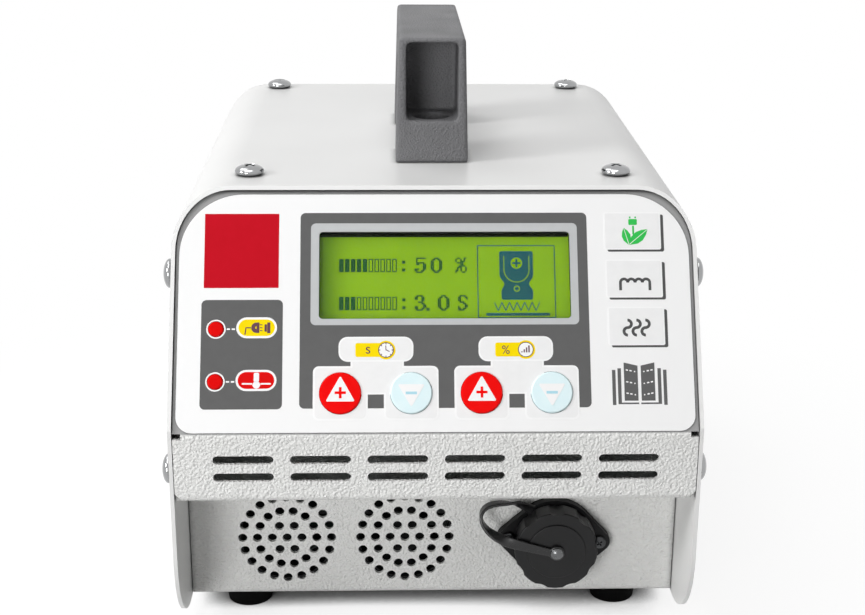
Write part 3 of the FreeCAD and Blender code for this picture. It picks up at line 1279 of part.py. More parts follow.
def choke_windings():
    """Two half windings wrapped round the ring core."""
    inner = CHOKE_BORE - FIT_GAP
    outer = CHOKE_RADIUS + FIT_GAP
    low = CHOKE_WIRE - FIT_GAP
    high = CHOKE_WIRE + CHOKE_HEIGHT + FIT_GAP
    hollow = ring(outer, inner, (low, high))
    body = ring(outer + CHOKE_WIRE - FIT_GAP, inner - CHOKE_WIRE, (0, high + CHOKE_WIRE - FIT_GAP))
    gap = box((-CHOKE_BORE, CHOKE_BORE), (-2 * CHOKE_RADIUS, 2 * CHOKE_RADIUS),
              (-OVERRUN, 2 * CHOKE_RADIUS))
    coils = cut(body, [hollow, gap])
    coils.translate(Vec(rear_row()[0], REAR_ROW_Y, POWER_TOP_Z))
    return group(coils.Solids)


def bridge_rectifier():
    """Flat rectifier standing on its four legs."""
    width, depth, height = BRIDGE_SIZE
    x = rear_row()[1]
    low = POWER_TOP_Z + TRANSISTOR_LIFT
    body = box(span(x, width), span(REAR_ROW_Y, depth), (low, low + height))
    legs = []
    for step in BRIDGE_LEG_STEPS:
        leg_y = REAR_ROW_Y + step * depth * BRIDGE_LEG_STEP_SHARE
        legs.append(box(span(x, TRANSISTOR_LEG[0]), span(leg_y, TRANSISTOR_LEG[1]), (POWER_TOP_Z, low)))
    return fuse([body] + legs)


def soft_start_relay():
    """Boxed relay on the board."""
    width, depth, height = RELAY_SIZE
    return box(span(rear_row()[3], width), span(REAR_ROW_Y, depth), (POWER_TOP_Z, POWER_TOP_Z + height))


def inlet_socket_middle():
    """Middle of the inlet's recess, in (x, z)."""
    return INLET_X, INLET_Z + INLET_SOCKET_LIFT


def drawer_middle():
    """Middle of the fuse drawer's face, in (x, z)."""
    return INLET_X, INLET_Z - DRAWER_DROP


def power_inlet():
    """Mains inlet with its recess and the slot of the fuse drawer."""
    outer_y = REAR_Y + INLET_FLANGE_SHEET
    flange = plate(rectangle((INLET_X, INLET_Z), INLET_FLANGE), INLET_CORNER, (REAR_Y, outer_y), "xz")
    body = plate(rectangle((INLET_X, INLET_Z), INLET_BODY), 0, (outer_y - INLET_BODY_DEPTH, outer_y), "xz")
    recess = plate(rectangle(inlet_socket_middle(), INLET_SOCKET),
                   [0, 0, INLET_SOCKET_CORNER, INLET_SOCKET_CORNER],
                   (outer_y - INLET_SOCKET_DEPTH, outer_y + OVERRUN), "xz")
    room = [side + 2 * HOLE_GAP for side in DRAWER_SIZE]
    drawer_room = plate(rectangle(drawer_middle(), room), 0,
                        (outer_y - DRAWER_DEPTH - FIT_GAP, outer_y + OVERRUN), "xz")
    tools = [recess, drawer_room]
    tools += inlet_screw_holes(REAR_Y, INLET_FLANGE_SHEET)
    for x, z in inlet_pin_places():
        size = [side + 2 * RUN_GAP for side in INLET_PIN]
        depth = (outer_y - INLET_BODY_DEPTH - OVERRUN, outer_y)
        tools.append(plate(rectangle((x, z), size), 0, depth, "xz"))
    return cut(fuse([flange, body]), tools)


def inlet_pin_places():
    """The three blades of the inlet, in (x, z); the earth blade stands higher."""
    x, z = inlet_socket_middle()
    low = z - INLET_EARTH_RISE / 2
    return [(x - INLET_PIN_PITCH, low), (x, low + INLET_EARTH_RISE), (x + INLET_PIN_PITCH, low)]


def inlet_pins():
    """Three blades with their tabs behind the inlet."""
    outer_y = REAR_Y + INLET_FLANGE_SHEET
    floor_y = outer_y - INLET_SOCKET_DEPTH
    y_span = (outer_y - INLET_BODY_DEPTH - TAB_LENGTH, floor_y + INLET_PIN_LENGTH)
    return group([plate(rectangle(place, INLET_PIN), 0, y_span, "xz") for place in inlet_pin_places()])


def inlet_screws():
    """Two screws of the inlet flange."""
    one = screw(SMALL_HEAD, SMALL_HEAD_HEIGHT / 2, SMALL_SHANK, INLET_FLANGE_SHEET + 2 * SHEET)
    y = REAR_Y + INLET_FLANGE_SHEET
    return group([placed(one, place, BACKWARD) for place in inlet_screw_places(y)])


def fuse_drawer():
    """Sliding fuse holder with a ridge to pull it by."""
    outer_y = REAR_Y + INLET_FLANGE_SHEET
    x, z = drawer_middle()
    body = plate(rectangle((x, z), DRAWER_SIZE), 0, (outer_y - DRAWER_DEPTH, outer_y), "xz")
    grip = box(span(x, DRAWER_GRIP[0]), (outer_y, outer_y + DRAWER_GRIP[1] / 2), span(z, DRAWER_GRIP[1]))
    return fuse([body, grip])


def rocker_housing():
    """Bezel and body of the mains switch, with a round-ended well for its rocker."""
    middle = (ROCKER_X, ROCKER_Z)
    bezel_y = REAR_Y + ROCKER_BEZEL_SHEET
    bezel = plate(rectangle(middle, ROCKER_BEZEL), ROCKER_BEZEL_SHEET, (REAR_Y, bezel_y), "xz")
    body = plate(rectangle(middle, ROCKER_BODY), 0, (REAR_Y - ROCKER_BODY_DEPTH, REAR_Y), "xz")
    width = ROCKER_WIDTH + 2 * FIT_GAP
    well = rod(ROCKER_RADIUS + FIT_GAP, Vec(ROCKER_X - width / 2, REAR_Y, ROCKER_Z), X_AXIS, width)
    return cut(fuse([bezel, body]), [well])


def rocker():
    """Rocker with a shallow valley between its two faces, tipped to its off place."""
    tip = math.radians(ROCKER_TIP_ANGLE)
    reach = ROCKER_RADIUS * math.cos(tip)
    rise = ROCKER_RADIUS * math.sin(tip)
    disc = rod(ROCKER_RADIUS, Vec(-ROCKER_WIDTH / 2, 0, 0), X_AXIS, ROCKER_WIDTH)
    keep = [(-ROCKER_RADIUS / 2, -ROCKER_RADIUS), (rise, -reach), (rise - ROCKER_VALLEY, 0), (rise, reach),
            (-ROCKER_RADIUS / 2, ROCKER_RADIUS)]
    body = disc.common(plate(keep, 0, span(0, ROCKER_WIDTH), "yz"))
    body.rotate(Vec(0, 0, 0), X_AXIS, -ROCKER_SWING / 2)
    body.translate(Vec(ROCKER_X, REAR_Y, ROCKER_Z))
    return body


def build():
    """Make every piece under the name of its part."""
    for make in (cover, front_sheet, lower_front_panel, base_tray, rear_panel,
                 control_overlay, display_window, lcd_bezel, lcd_glass, lcd_board,
                 control_board, control_standoffs, key_switches, indicator_lamps,
                 output_socket, socket_gasket, socket_insert, socket_contacts, socket_screws,
                 screw_cap, cap_seal, cap_rivet, cap_strap, fan_bracket, fan_screws,
                 handle, handle_screws, handle_nuts, case_screws, feet, foot_screws,
                 power_board, board_posts, heatsink, transistors, bus_capacitors,
                 film_capacitors, transformer_core, transformer_winding, choke_core,
                 choke_windings, bridge_rectifier, soft_start_relay, power_inlet, inlet_pins,
                 inlet_screws, fuse_drawer, rocker_housing, rocker):
        PARTS[make.__name__] = make()
    for name, u in zip(("key_time_up", "key_time_down", "key_power_up", "key_power_down"), KEY_U):
        PARTS[name] = key(u)
    for side, fan_x in zip(("left", "right"), FAN_X):
        PARTS["fan_frame_" + side] = fan_frame(fan_x)
        PARTS["fan_rotor_" + side] = fan_rotor(fan_x)


def save():
    """Write each part, moved so that the origin is the middle of the footprint."""
    os.makedirs("parts", exist_ok=True)
    for name, shape in PARTS.items():
        shape = shape.copy()
        shape.translate(MOVE_TO_CENTRE)
        shape.exportStep("parts/" + name + ".step")


build()
save()
print("parts", len(PARTS), "front of the nose at Y", round(MOVE_TO_CENTRE.y, 3))
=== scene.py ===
"""Looks of the bench power unit of an induction dent remover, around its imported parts.

Every length that a user would change is a property in millimetres. Places on the slanted face
are given across (u), up the slope (v) and outwards (n), from the middle of the nose.
"""
import json
import math

import bmesh
import bpy
from bpy.props import FloatProperty, FloatVectorProperty, PointerProperty, StringProperty
from mathutils import Matrix, Vector


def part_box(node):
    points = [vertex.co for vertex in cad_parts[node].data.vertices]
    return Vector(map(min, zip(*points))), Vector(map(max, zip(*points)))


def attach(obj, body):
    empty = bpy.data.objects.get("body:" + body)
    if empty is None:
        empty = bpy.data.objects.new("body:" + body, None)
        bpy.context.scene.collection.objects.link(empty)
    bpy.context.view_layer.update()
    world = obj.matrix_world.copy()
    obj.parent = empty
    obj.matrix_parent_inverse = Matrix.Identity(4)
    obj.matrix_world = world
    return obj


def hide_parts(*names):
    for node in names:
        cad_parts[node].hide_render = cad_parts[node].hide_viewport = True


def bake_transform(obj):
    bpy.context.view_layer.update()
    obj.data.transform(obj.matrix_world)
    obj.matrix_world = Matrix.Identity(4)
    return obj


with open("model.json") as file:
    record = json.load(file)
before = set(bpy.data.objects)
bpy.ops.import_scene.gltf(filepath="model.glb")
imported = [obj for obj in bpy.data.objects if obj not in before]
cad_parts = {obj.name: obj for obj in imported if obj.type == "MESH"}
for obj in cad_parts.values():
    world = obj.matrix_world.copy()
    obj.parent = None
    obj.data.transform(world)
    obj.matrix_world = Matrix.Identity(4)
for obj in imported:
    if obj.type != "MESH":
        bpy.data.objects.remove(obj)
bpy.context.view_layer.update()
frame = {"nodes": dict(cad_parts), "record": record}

bl_info = {
    "name": "Induction dent remover looks",
    "version": (1, 0, 0),
    "blender": (4, 5, 0),
    "location": "3D View > Sidebar > Dent Remover",
    "description": "Finishes and fine pieces of the bench power unit of an induction dent remover",
    "category": "Object",
}

# The slanted face: how far it leans back, where its nose is, and how far up the label starts
MM = 0.001
NODES = frame["nodes"]
SLOTS = {part["node"]: part["material_slot"] for part in frame["record"]["subparts"]}
FACE_LEAN = math.radians(30)
NOSE = Vector((0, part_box("front_sheet")[0].y, 0.094))
LABEL_RISE = 1.9
FACE = Matrix.Translation(NOSE) @ Matrix.Rotation(math.pi / 2 - FACE_LEAN, 4, "X")
FACE = FACE @ Matrix.Translation((0, LABEL_RISE * MM, 0))
LABEL_TOP = 0.5

# Places on the slanted face in millimetres: left, low, right, top
WINDOW = (-44.1, 42.5, 51.4, 76.3)
WINDOW_BAND = (-47.2, 40.1, 54.3, 79.6)
RED_SQUARE = (-87.5, 54.5, -59.3, 83.4)
LAMP_BOX = (-88.2, 8.3, -57.6, 49.9)
MAIN_BOX = (-51.2, 8.5, 58.1, 83.7)
KEY_PLACES = (-35.9, -9.4, 17.0, 43.3)
KEY_V = 14.2
LAMP_U = -82.6
LAMP_ROWS = (38.7, 18.7)
GROUP_STEP = 52.6
CAPTION_PILL = (-36.6, 26.1, -8.5, 35.6)
CAPTION_NECK = (-32.1, 13.7, -12.1, 27.0)
CAPTION_TAG = (-30.3, 27.9, -18.8, 33.2)
TAG_DISC = (-18.8, 30.5)
TAG_TEXT = (-27.0, 29.5)
PLATES = ((64.6, 68.3, 87.6, 83.9), (64.8, 49.6, 87.6, 65.2), (65.1, 31.2, 87.8, 46.8))
BOOK_U = 76.4
ICON_U = 76.0
PILL_U = -67.2
# Dark strip of painted shade along the display's top, where the window's upper wall shades the glass
DISPLAY_TOP_SHADE = (-43.9, 74.9, 51.2, 77.2)
PAD_U = 31.15

# Heights over the sheet in millimetres
GLASS_FRONT = -2.7
KEY_TOP = 1.4

# Screws in millimetres: radius and height of the head, radius of the shank
CASE_SCREW = (5.75, 4.0, 2.4)
SOCKET_SCREW = (2.8, 1.7, 1.45)
# Shares of the head's height or radius: its widest place, and the cross recess
HEAD_MIDDLE_SHARE = 0.38
RECESS_LENGTH_SHARE = 1.3
RECESS_WIDTH_SHARE = 0.3
RECESS_HEIGHT_SHARE = 1.1
RECESS_FOOT_SHARE = 0.45
# Degrees from one screw's recess to the next one's
SCREW_TURN = 37

# Handle in millimetres: left, low, right and top of a pocket's mouth, and its depth
HANDLE_POCKET = (-10.4, 17.4, 10.4, 48.7)
POCKET_DEPTH = 23.0
HANDLE_VOXEL = 0.52

# Strap in millimetres. Its stations: across and up as shares of the cap's radius, depth as a share
# of the way from eye to ring, turn of its width in degrees and share of its width
STRAP_WIDTH = 4.4
STRAP_SHEET = 1.3
STRAP_CORNER = 0.4
STRAP_EYE = (3.1, 1.38)
STRAP_EYE_HALF = 0.7
STRAP_EYE_LEAD = 0.78
STRAP_RING = (15.58, 13.58)
STRAP_RING_SPAN = (0.02, 0.98)
STRAP_VOXEL = 0.28
STRAP_STATIONS = (
    (-0.16, 0.02, 0.0, 0, 0.75), (-1.0, 0.25, -0.05, 0, 0.95), (-1.42, 0.37, 0.13, 54, 1),
    (-1.73, 0.56, 0.30, 81, 1), (-1.86, 0.82, 0.44, 90, 1), (-1.76, 1.04, 0.57, 90, 1),
    (-1.49, 1.11, 0.69, 90, 1), (-1.16, 1.08, 0.82, 81, 1), (-0.86, 1.03, 0.95, 36, 1),
    (-0.53, 0.80, 1.0, 0, 1))

# Grey painted on the front sheet above the nose as shade of the cover's rim, and how dark the painted shade
# in folds and seams gets
RIM_SHADE_GREY = "#9C9C9C"
PAINTED_SEAM_SHADE = 0.3

# Stage in metres: what every lamp looks at, how far the floor feels the object, and the radii
# between which the floor turns white
AIM = (0, 0, 0.1)
FLOOR_FEEL = 0.07
FLOOR_FADE = (0.15, 0.34)


class DentStageSettings(bpy.types.PropertyGroup):
    """Camera, lamps and floor."""
    camera_place: FloatVectorProperty(
        name="Camera place", description="Where the camera stands", size=3, unit="LENGTH",
        default=(-0.01801, -0.66968, 0.32582))
    camera_yaw: FloatProperty(
        name="Yaw", description="Turn of the view to the right of straight back", unit="ROTATION",
        default=0.0299)
    camera_pitch: FloatProperty(
        name="Pitch", description="How far the view looks down", unit="ROTATION", default=0.3246)
    camera_roll: FloatProperty(
        name="Roll", description="Turn of the picture about the view", unit="ROTATION", default=0.0064)
    lens: FloatProperty(name="Lens", description="Focal length on a 36 mm sensor", default=65.4)
    key_power: FloatProperty(name="Key lamp", description="Power of the lamp at the left", default=11.0)
    top_power: FloatProperty(name="Top lamp", description="Power of the lamp overhead", default=11.6)
    hair_power: FloatProperty(name="Hair lamp", description="Power of the high lamp behind", default=4.5)
    front_power: FloatProperty(name="Front lamp", description="Power of the lamp by the camera", default=12.2)
    rear_power: FloatProperty(name="Rear lamp", description="Power of the low lamp behind", default=6.0)
    floor_lift: FloatProperty(name="Floor lift", description="White added to the floor as seen", default=0.86)
    floor_shade: StringProperty(name="Floor shade", description="Tone of the light off the floor",
                                default="#BEBEBE")
    world_light: FloatProperty(name="World", description="Strength of the even light all round", default=0.06)


class DentColourSettings(bpy.types.PropertyGroup):
    """Colours of the main finishes, as sRGB hex values."""
    coat: StringProperty(name="Cover", description="Smooth powder coat of the cover", default="#F0F0EF")
    wrinkle: StringProperty(name="Sheets", description="Textured powder coat", default="#F3F3F1")
    film: StringProperty(name="Label", description="White ground of the label", default="#F8F8F8")
    grey_ink: StringProperty(name="Grey print", description="Dark grey boxes of the label", default="#666666")
    red: StringProperty(name="Red", description="Red of keys, lamps and print", default="#FA0A08")
    blue: StringProperty(name="Blue", description="Light blue keys", default="#ECFCFE")
    handle: StringProperty(name="Handle", description="Grained plastic of the handle", default="#6E6E70")


class DentPrintSettings(bpy.types.PropertyGroup):
    """Sizes of the label's print, in millimetres."""
    ink: FloatProperty(name="Ink", description="Height of one layer of print", default=0.035)
    key_radius: FloatProperty(name="Key hole", description="Radius of a key's hole", default=8.0)
    lamp_radius: FloatProperty(name="Lamp hole", description="Radius of a lamp's hole", default=3.1)
    tile: FloatProperty(name="Key tile", description="Side of the white tile round a key", default=20.5)


# Colour and node helpers

def linear(code):
    """Linear colour of an sRGB hex value."""
    parts = [int(code[i:i + 2], 16) / 255 for i in (1, 3, 5)]
    return [c / 12.92 if c <= 0.04045 else ((c + 0.055) / 1.055) ** 2.4 for c in parts] + [1.0]


def per_metre(size):
    """Scale of a pattern whose features are this many millimetres apart."""
    return 1 / (size * MM)


def add(tree, kind, values=(), **settings):
    """Adds a node with its settings, then fills its inputs with values or other nodes' outputs."""
    made = tree.nodes.new("ShaderNode" + kind)
    for name, value in settings.items():
        setattr(made, name, value)
    for socket, value in dict(values).items():
        if isinstance(value, bpy.types.NodeSocket):
            tree.links.new(value, made.inputs[socket])
        else:
            made.inputs[socket].default_value = value
    return made


def drift(tree, factor, one, other):
    """Colour between two hex values or other nodes' colours."""
    one, other = (linear(tone) if isinstance(tone, str) else tone for tone in (one, other))
    return add(tree, "Mix", {"Factor": factor, "A": one, "B": other}, data_type="RGBA").outputs[2]


def new_material(name):
    """Empty material, and its node tree."""
    material = bpy.data.materials.new(name)
    material.use_nodes = True
    material.node_tree.nodes.clear()
    return material, material.node_tree


def finish(name, colour, shade, rough, grain, relief, patch, cells=False, calm_and_shaded_above=None, shade_reach=0,
           sockets=()):
    """Surface with a fine relief, and with colour and gloss that vary in soft patches.

    colour and shade are the two ends of the colour's drift, grain is the relief's feature size,
    relief its height and patch the size of the soft patches, all three in millimetres. Above the
    height calm_and_shaded_above the relief all but ends and grey painted shade stands in for the
    shadow of the cover's rim. Within shade_reach millimetres of a fold or a neighbour the surface
    darkens with painted shade.
    """
    material, tree = new_material(name)
    place = add(tree, "TexCoord").outputs["Object"]
    fine = add(tree, "TexNoise", {"Vector": place, "Scale": per_metre(grain), "Detail": 3.0,
                                  "Roughness": 0.55}).outputs["Fac"]
    if cells:
        lumps = add(tree, "TexVoronoi", {"Vector": place, "Scale": per_metre(grain)},
                    feature="SMOOTH_F1").outputs["Distance"]
        fine = add(tree, "Math", {0: fine, 1: lumps}, operation="ADD").outputs[0]
    soft = add(tree, "TexNoise", {"Vector": place, "Scale": per_metre(patch),
                                  "Detail": 2.0}).outputs["Fac"]
    tone = drift(tree, soft, colour, shade)
    gloss = add(tree, "MapRange", {"Value": soft, "From Min": 0.3, "From Max": 0.7, "To Min": rough[0],
                                   "To Max": rough[1]}).outputs[0]
    strength = 1.0
    # Above the nose: calmer relief, and grey painted shade where the cover's rim shades the sheet
    if calm_and_shaded_above:
        height = add(tree, "SeparateXYZ", {"Vector": place}).outputs["Z"]
        zone = add(tree, "MapRange", {"Value": height, "From Min": calm_and_shaded_above + 0.3 * MM,
                                      "From Max": calm_and_shaded_above + MM}).outputs[0]
        strength = add(tree, "MapRange", {"Value": zone, "To Min": 1.0, "To Max": 0.06}).outputs[0]
        tone = drift(tree, zone, tone, RIM_SHADE_GREY)
    # Painted shade: darker within shade_reach of folds and neighbouring parts
    if shade_reach:
        fold = add(tree, "AmbientOcclusion", {"Distance": shade_reach * MM}, samples=6).outputs["AO"]
        painted_seam_shade = add(tree, "MapRange", {"Value": fold, "From Min": 0.35, "From Max": 0.9,
                                      "To Min": PAINTED_SEAM_SHADE, "To Max": 1.0}).outputs[0]
        tone = add(tree, "VectorMath", {0: tone, "Scale": painted_seam_shade}, operation="SCALE").outputs[0]
    bump = add(tree, "Bump", {"Height": fine, "Strength": strength, "Distance": relief * MM}).outputs[0]
    shader = add(tree, "BsdfPrincipled", {"Base Color": tone, "Roughness": gloss, "Normal": bump})
    for socket, value in dict(sockets).items():
        shader.inputs[socket].default_value = value
    add(tree, "OutputMaterial", {"Surface": shader.outputs[0]})
    return material


# Mesh helpers

def linked(name, data):
    """Object with this data, in the scene."""
    made = bpy.data.objects.new(name, data)
    bpy.context.scene.collection.objects.link(made)
    return made


def as_mesh(name, shape):
    """Mesh of a bmesh, which is used up."""
    mesh = bpy.data.meshes.new(name)
    shape.to_mesh(mesh)
    shape.free()
    return mesh


def as_seen(piece):
    """Mesh of an object with its modifiers, or of a curve."""
    bpy.context.view_layer.update()
    return bpy.data.meshes.new_from_object(piece.evaluated_get(bpy.context.evaluated_depsgraph_get()))


def moved(shape, matrix):
    """Moves a whole bmesh, and turns its normals outwards."""
    bmesh.ops.transform(shape, matrix=matrix, verts=shape.verts)
    bmesh.ops.recalc_face_normals(shape, faces=shape.faces)


def on_face(shape):
    """Moves a mesh drawn in millimetres as (u, v, n) onto the slanted face."""
    bmesh.ops.transform(shape, matrix=FACE @ Matrix.Scale(MM, 4), verts=shape.verts)


def flat_plate(shape, face_or_faces, low, high):
    """Gives flat faces at n = 0 a thickness from low to high."""
    made = bmesh.ops.extrude_face_region(shape, geom=list(face_or_faces))
    raised = [part for part in made["geom"] if isinstance(part, bmesh.types.BMVert)]
    bmesh.ops.translate(shape, verts=raised, vec=(0, 0, high))
    resting = [vert for face in face_or_faces for vert in face.verts]
    bmesh.ops.translate(shape, verts=list(set(resting)), vec=(0, 0, low))


def rounded(shape, corners, radius):
    """The flat face between these corners, which get that radius."""
    if radius > 0:
        corners = bmesh.ops.bevel(shape, geom=corners, offset=radius, affect="VERTICES", segments=6,
                                  profile=0.5, material=-1)["verts"]
    return [corners[0].link_faces[0]]


def patch_rectangle(shape, left, low, right, top, radius=0.0):
    """Flat rectangle with round corners."""
    matrix = Matrix.Translation(((left + right) / 2, (low + top) / 2, 0))
    matrix = matrix @ Matrix.Diagonal((right - left, top - low, 1, 1))
    corners = bmesh.ops.create_grid(shape, x_segments=1, y_segments=1, size=0.5, matrix=matrix)["verts"]
    return rounded(shape, corners, radius)


def move_faces(shape, faces, matrix):
    """Moves loose faces."""
    bmesh.ops.transform(shape, matrix=matrix, verts=[vert for face in faces for vert in face.verts])


def patch_disc(shape, u, v, radius, count=48):
    """Flat disc."""
    made = bmesh.ops.create_circle(shape, cap_ends=True, radius=radius, segments=count,
                                   matrix=Matrix.Translation((u, v, 0)))
    return [made["verts"][0].link_faces[0]]


def patch_ring(shape, outer, inner):
    """Flat ring between two outlines, each a list of one face; the faces are used up."""
    rims = [edge for face in outer + inner for edge in face.edges]
    bmesh.ops.delete(shape, geom=outer + inner, context="FACES_ONLY")
    return bmesh.ops.bridge_loops(shape, edges=rims)["faces"]


def patch_bar(shape, start, end, width, radius=0.0):
    """Flat bar along the line from start to end."""
    length = math.dist(start, end)
    made = patch_rectangle(shape, -length / 2, -width / 2, length / 2, width / 2, radius)
    turn = math.atan2(end[1] - start[1], end[0] - start[0])
    middle = Matrix.Translation(((start[0] + end[0]) / 2, (start[1] + end[1]) / 2, 0))
    move_faces(shape, made, middle @ Matrix.Rotation(turn, 4, "Z"))
    return made


def patch_arc(shape, u, v, radius, width, start, turn, steps=24):
    """Flat band along a circle, from one angle on through a turn, both in degrees."""
    inner = shape.verts.new((u + radius - width / 2, v, 0))
    outer = shape.verts.new((u + radius + width / 2, v, 0))
    edge = shape.edges.new((inner, outer))
    bmesh.ops.rotate(shape, verts=[inner, outer], cent=(u, v, 0),
                     matrix=Matrix.Rotation(math.radians(start), 3, "Z"))
    known = set(shape.faces)
    bmesh.ops.spin(shape, geom=[edge], cent=(u, v, 0), axis=(0, 0, 1), angle=math.radians(turn),
                   steps=steps)
    return [face for face in shape.faces if face not in known]


def patch_outline(shape, points, radius=0.0):
    """Flat face through the points, its corners rounded."""
    corners = [shape.verts.new((u, v, 0)) for u, v in points]
    shape.faces.new(corners)
    return rounded(shape, corners, radius)


def new_piece(name, shape, material, body="root"):
    """Object from a bmesh, with its material, riding on a body."""
    bmesh.ops.remove_doubles(shape, verts=shape.verts, dist=1e-7)
    bmesh.ops.recalc_face_normals(shape, faces=shape.faces)
    mesh = as_mesh(name, shape)
    mesh.materials.append(material)
    piece = linked(name, mesh)
    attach(piece, body)
    return piece


def apply_modifiers(piece):
    """Replaces a piece's mesh by the one its modifiers make."""
    done = as_seen(piece)
    piece.modifiers.clear()
    piece.data = done
    if not done.polygons:
        raise RuntimeError(piece.name + " came out empty")


def soften(piece, voxel, rounds):
    """Makes a piece one closed skin of small even faces, and wears its edges round."""
    remesh = piece.modifiers.new("one_piece", "REMESH")
    remesh.mode = "VOXEL"
    remesh.voxel_size = voxel * MM
    piece.modifiers.new("soft_edges", "SMOOTH").iterations = rounds
    apply_modifiers(piece)
    smooth(piece, 60)


def smooth(piece, angle):
    """Round shading, with edges sharper than the angle kept."""
    piece.data.polygons.foreach_set("use_smooth", [True] * len(piece.data.polygons))
    piece.data.set_sharp_from_angle(angle=math.radians(angle))


# Materials, each named for what the real surface is

def powder_coat_smooth():
    """Satin polyester powder coat, sprayed: even, pale, with a faint orange peel."""
    # Painted shade darkens it within 3 mm of folds and neighbours
    return finish("powder_coat_smooth", bpy.context.scene.dent_colours.coat, "#EAEAE9", (0.3, 0.38),
                  grain=1.6, relief=0.012, patch=60, shade_reach=3, sockets={"Specular IOR Level": 0.45})


def powder_coat_wrinkle(name="powder_coat_wrinkle", calm_and_shaded_above=None):
    """Textured powder coat: small hard lumps about 1 mm apart.

    Within 3 mm of folds and neighbours it gets painted shade. The front sheet's gets a calmer relief and grey
    painted shade above the nose, round the label, for the shadow of the cover's rim.
    """
    return finish(name, bpy.context.scene.dent_colours.wrinkle, "#EAEAE8", (0.46, 0.56), grain=0.95,
                  relief=0.62, patch=45, cells=True, calm_and_shaded_above=calm_and_shaded_above, shade_reach=3)


def polyester_film():
    """White polyester label film with a very fine velvet grain."""
    return finish("polyester_film", bpy.context.scene.dent_colours.film, "#F4F4F4", (0.36, 0.42),
                  grain=0.5, relief=0.004, patch=50)


def screen_ink(name, colour, rough=0.42):
    """Screen-printed ink: flat colour that drifts a little where the screen laid it thinner."""
    shade = "#" + "".join(f"{max(0, int(colour[i:i + 2], 16) - 7):02X}" for i in (1, 3, 5))
    return finish("ink_" + name, colour, shade, (rough, rough + 0.06), grain=0.4, relief=0.003, patch=4,
                  sockets={"Specular IOR Level": 0.12})


def backlit_glass():
    """Display glass lit from behind: yellow-green, with painted shade darkening it towards its left edge,
    where the window's recess shades it.
    """
    material, tree = new_material("display_glass_backlit")
    place = add(tree, "TexCoord").outputs["Object"]
    across = add(tree, "SeparateXYZ", {"Vector": place}).outputs["X"]
    # Painted shade: darker towards the left edge, where the window's recess shades the glass
    edge = add(tree, "MapRange", {"Value": across, "From Min": -0.0475, "From Max": -0.030},
               interpolation_type="SMOOTHSTEP").outputs[0]
    cloud = add(tree, "TexNoise", {"Vector": place, "Scale": per_metre(28), "Detail": 1.0}).outputs["Fac"]
    tone = drift(tree, edge, "#3C5D05", drift(tree, cloud, "#6A8D05", "#73970F"))
    shader = add(tree, "BsdfPrincipled", {"Base Color": tone, "Roughness": 0.25, "Emission Color": tone,
                                          "Emission Strength": 0.08, "Specular IOR Level": 0.2})
    add(tree, "OutputMaterial", {"Surface": shader.outputs[0]})
    return material


def clear_acrylic():
    """Clear cast acrylic window: almost no colour, with a soft gloss."""
    return finish("acrylic_clear", "#F6FBF4", "#FFFFFF", (0.03, 0.06), grain=3, relief=0.001, patch=30,
                  sockets={"Transmission Weight": 1.0, "IOR": 1.12})


def key_plastic(name, colour, shade):
    """Moulded gloss ABS key under a clear skin."""
    return finish("abs_gloss_" + name, colour, shade, (0.16, 0.24), grain=2.5, relief=0.004, patch=6,
                  sockets={"Specular IOR Level": 0.06, "Coat Weight": 0.06, "Coat Roughness": 0.08})


def handle_plastic():
    """Glass-filled nylon, moulded with a spark-eroded grain about 0.7 mm apart."""
    return finish("nylon_grained", bpy.context.scene.dent_colours.handle, "#626264", (0.5, 0.62),
                  grain=0.7, relief=0.3, patch=22, cells=True)


def moulded_black(name="nylon_black", colour="#0B0B0C", rough=(0.32, 0.44)):
    """Black moulded nylon with a faint flow pattern."""
    return finish(name, colour, "#111112", rough, grain=0.9, relief=0.02, patch=9,
                  sockets={"Specular IOR Level": 0.3})


def rubber_black():
    """Moulded black rubber, dull, with grey bloom in patches."""
    return finish("rubber_black", "#030303", "#060606", (0.7, 0.85), grain=0.6, relief=0.03, patch=7,
                  sockets={"Specular IOR Level": 0.05})


def strap_rubber():
    """Thin moulded thermoplastic strap with a soft shine along its edges."""
    return finish("strap_elastomer", "#101011", "#19191A", (0.24, 0.32), grain=0.8, relief=0.012,
                  patch=12)


def bright_metal(name, colour, shade, rough=(0.14, 0.26), grain=0.5, relief=0.006):
    """Bare or plated metal, with faint marks of its making."""
    return finish(name, colour, shade, rough, grain=grain, relief=relief, patch=5,
                  sockets={"Metallic": 1.0})


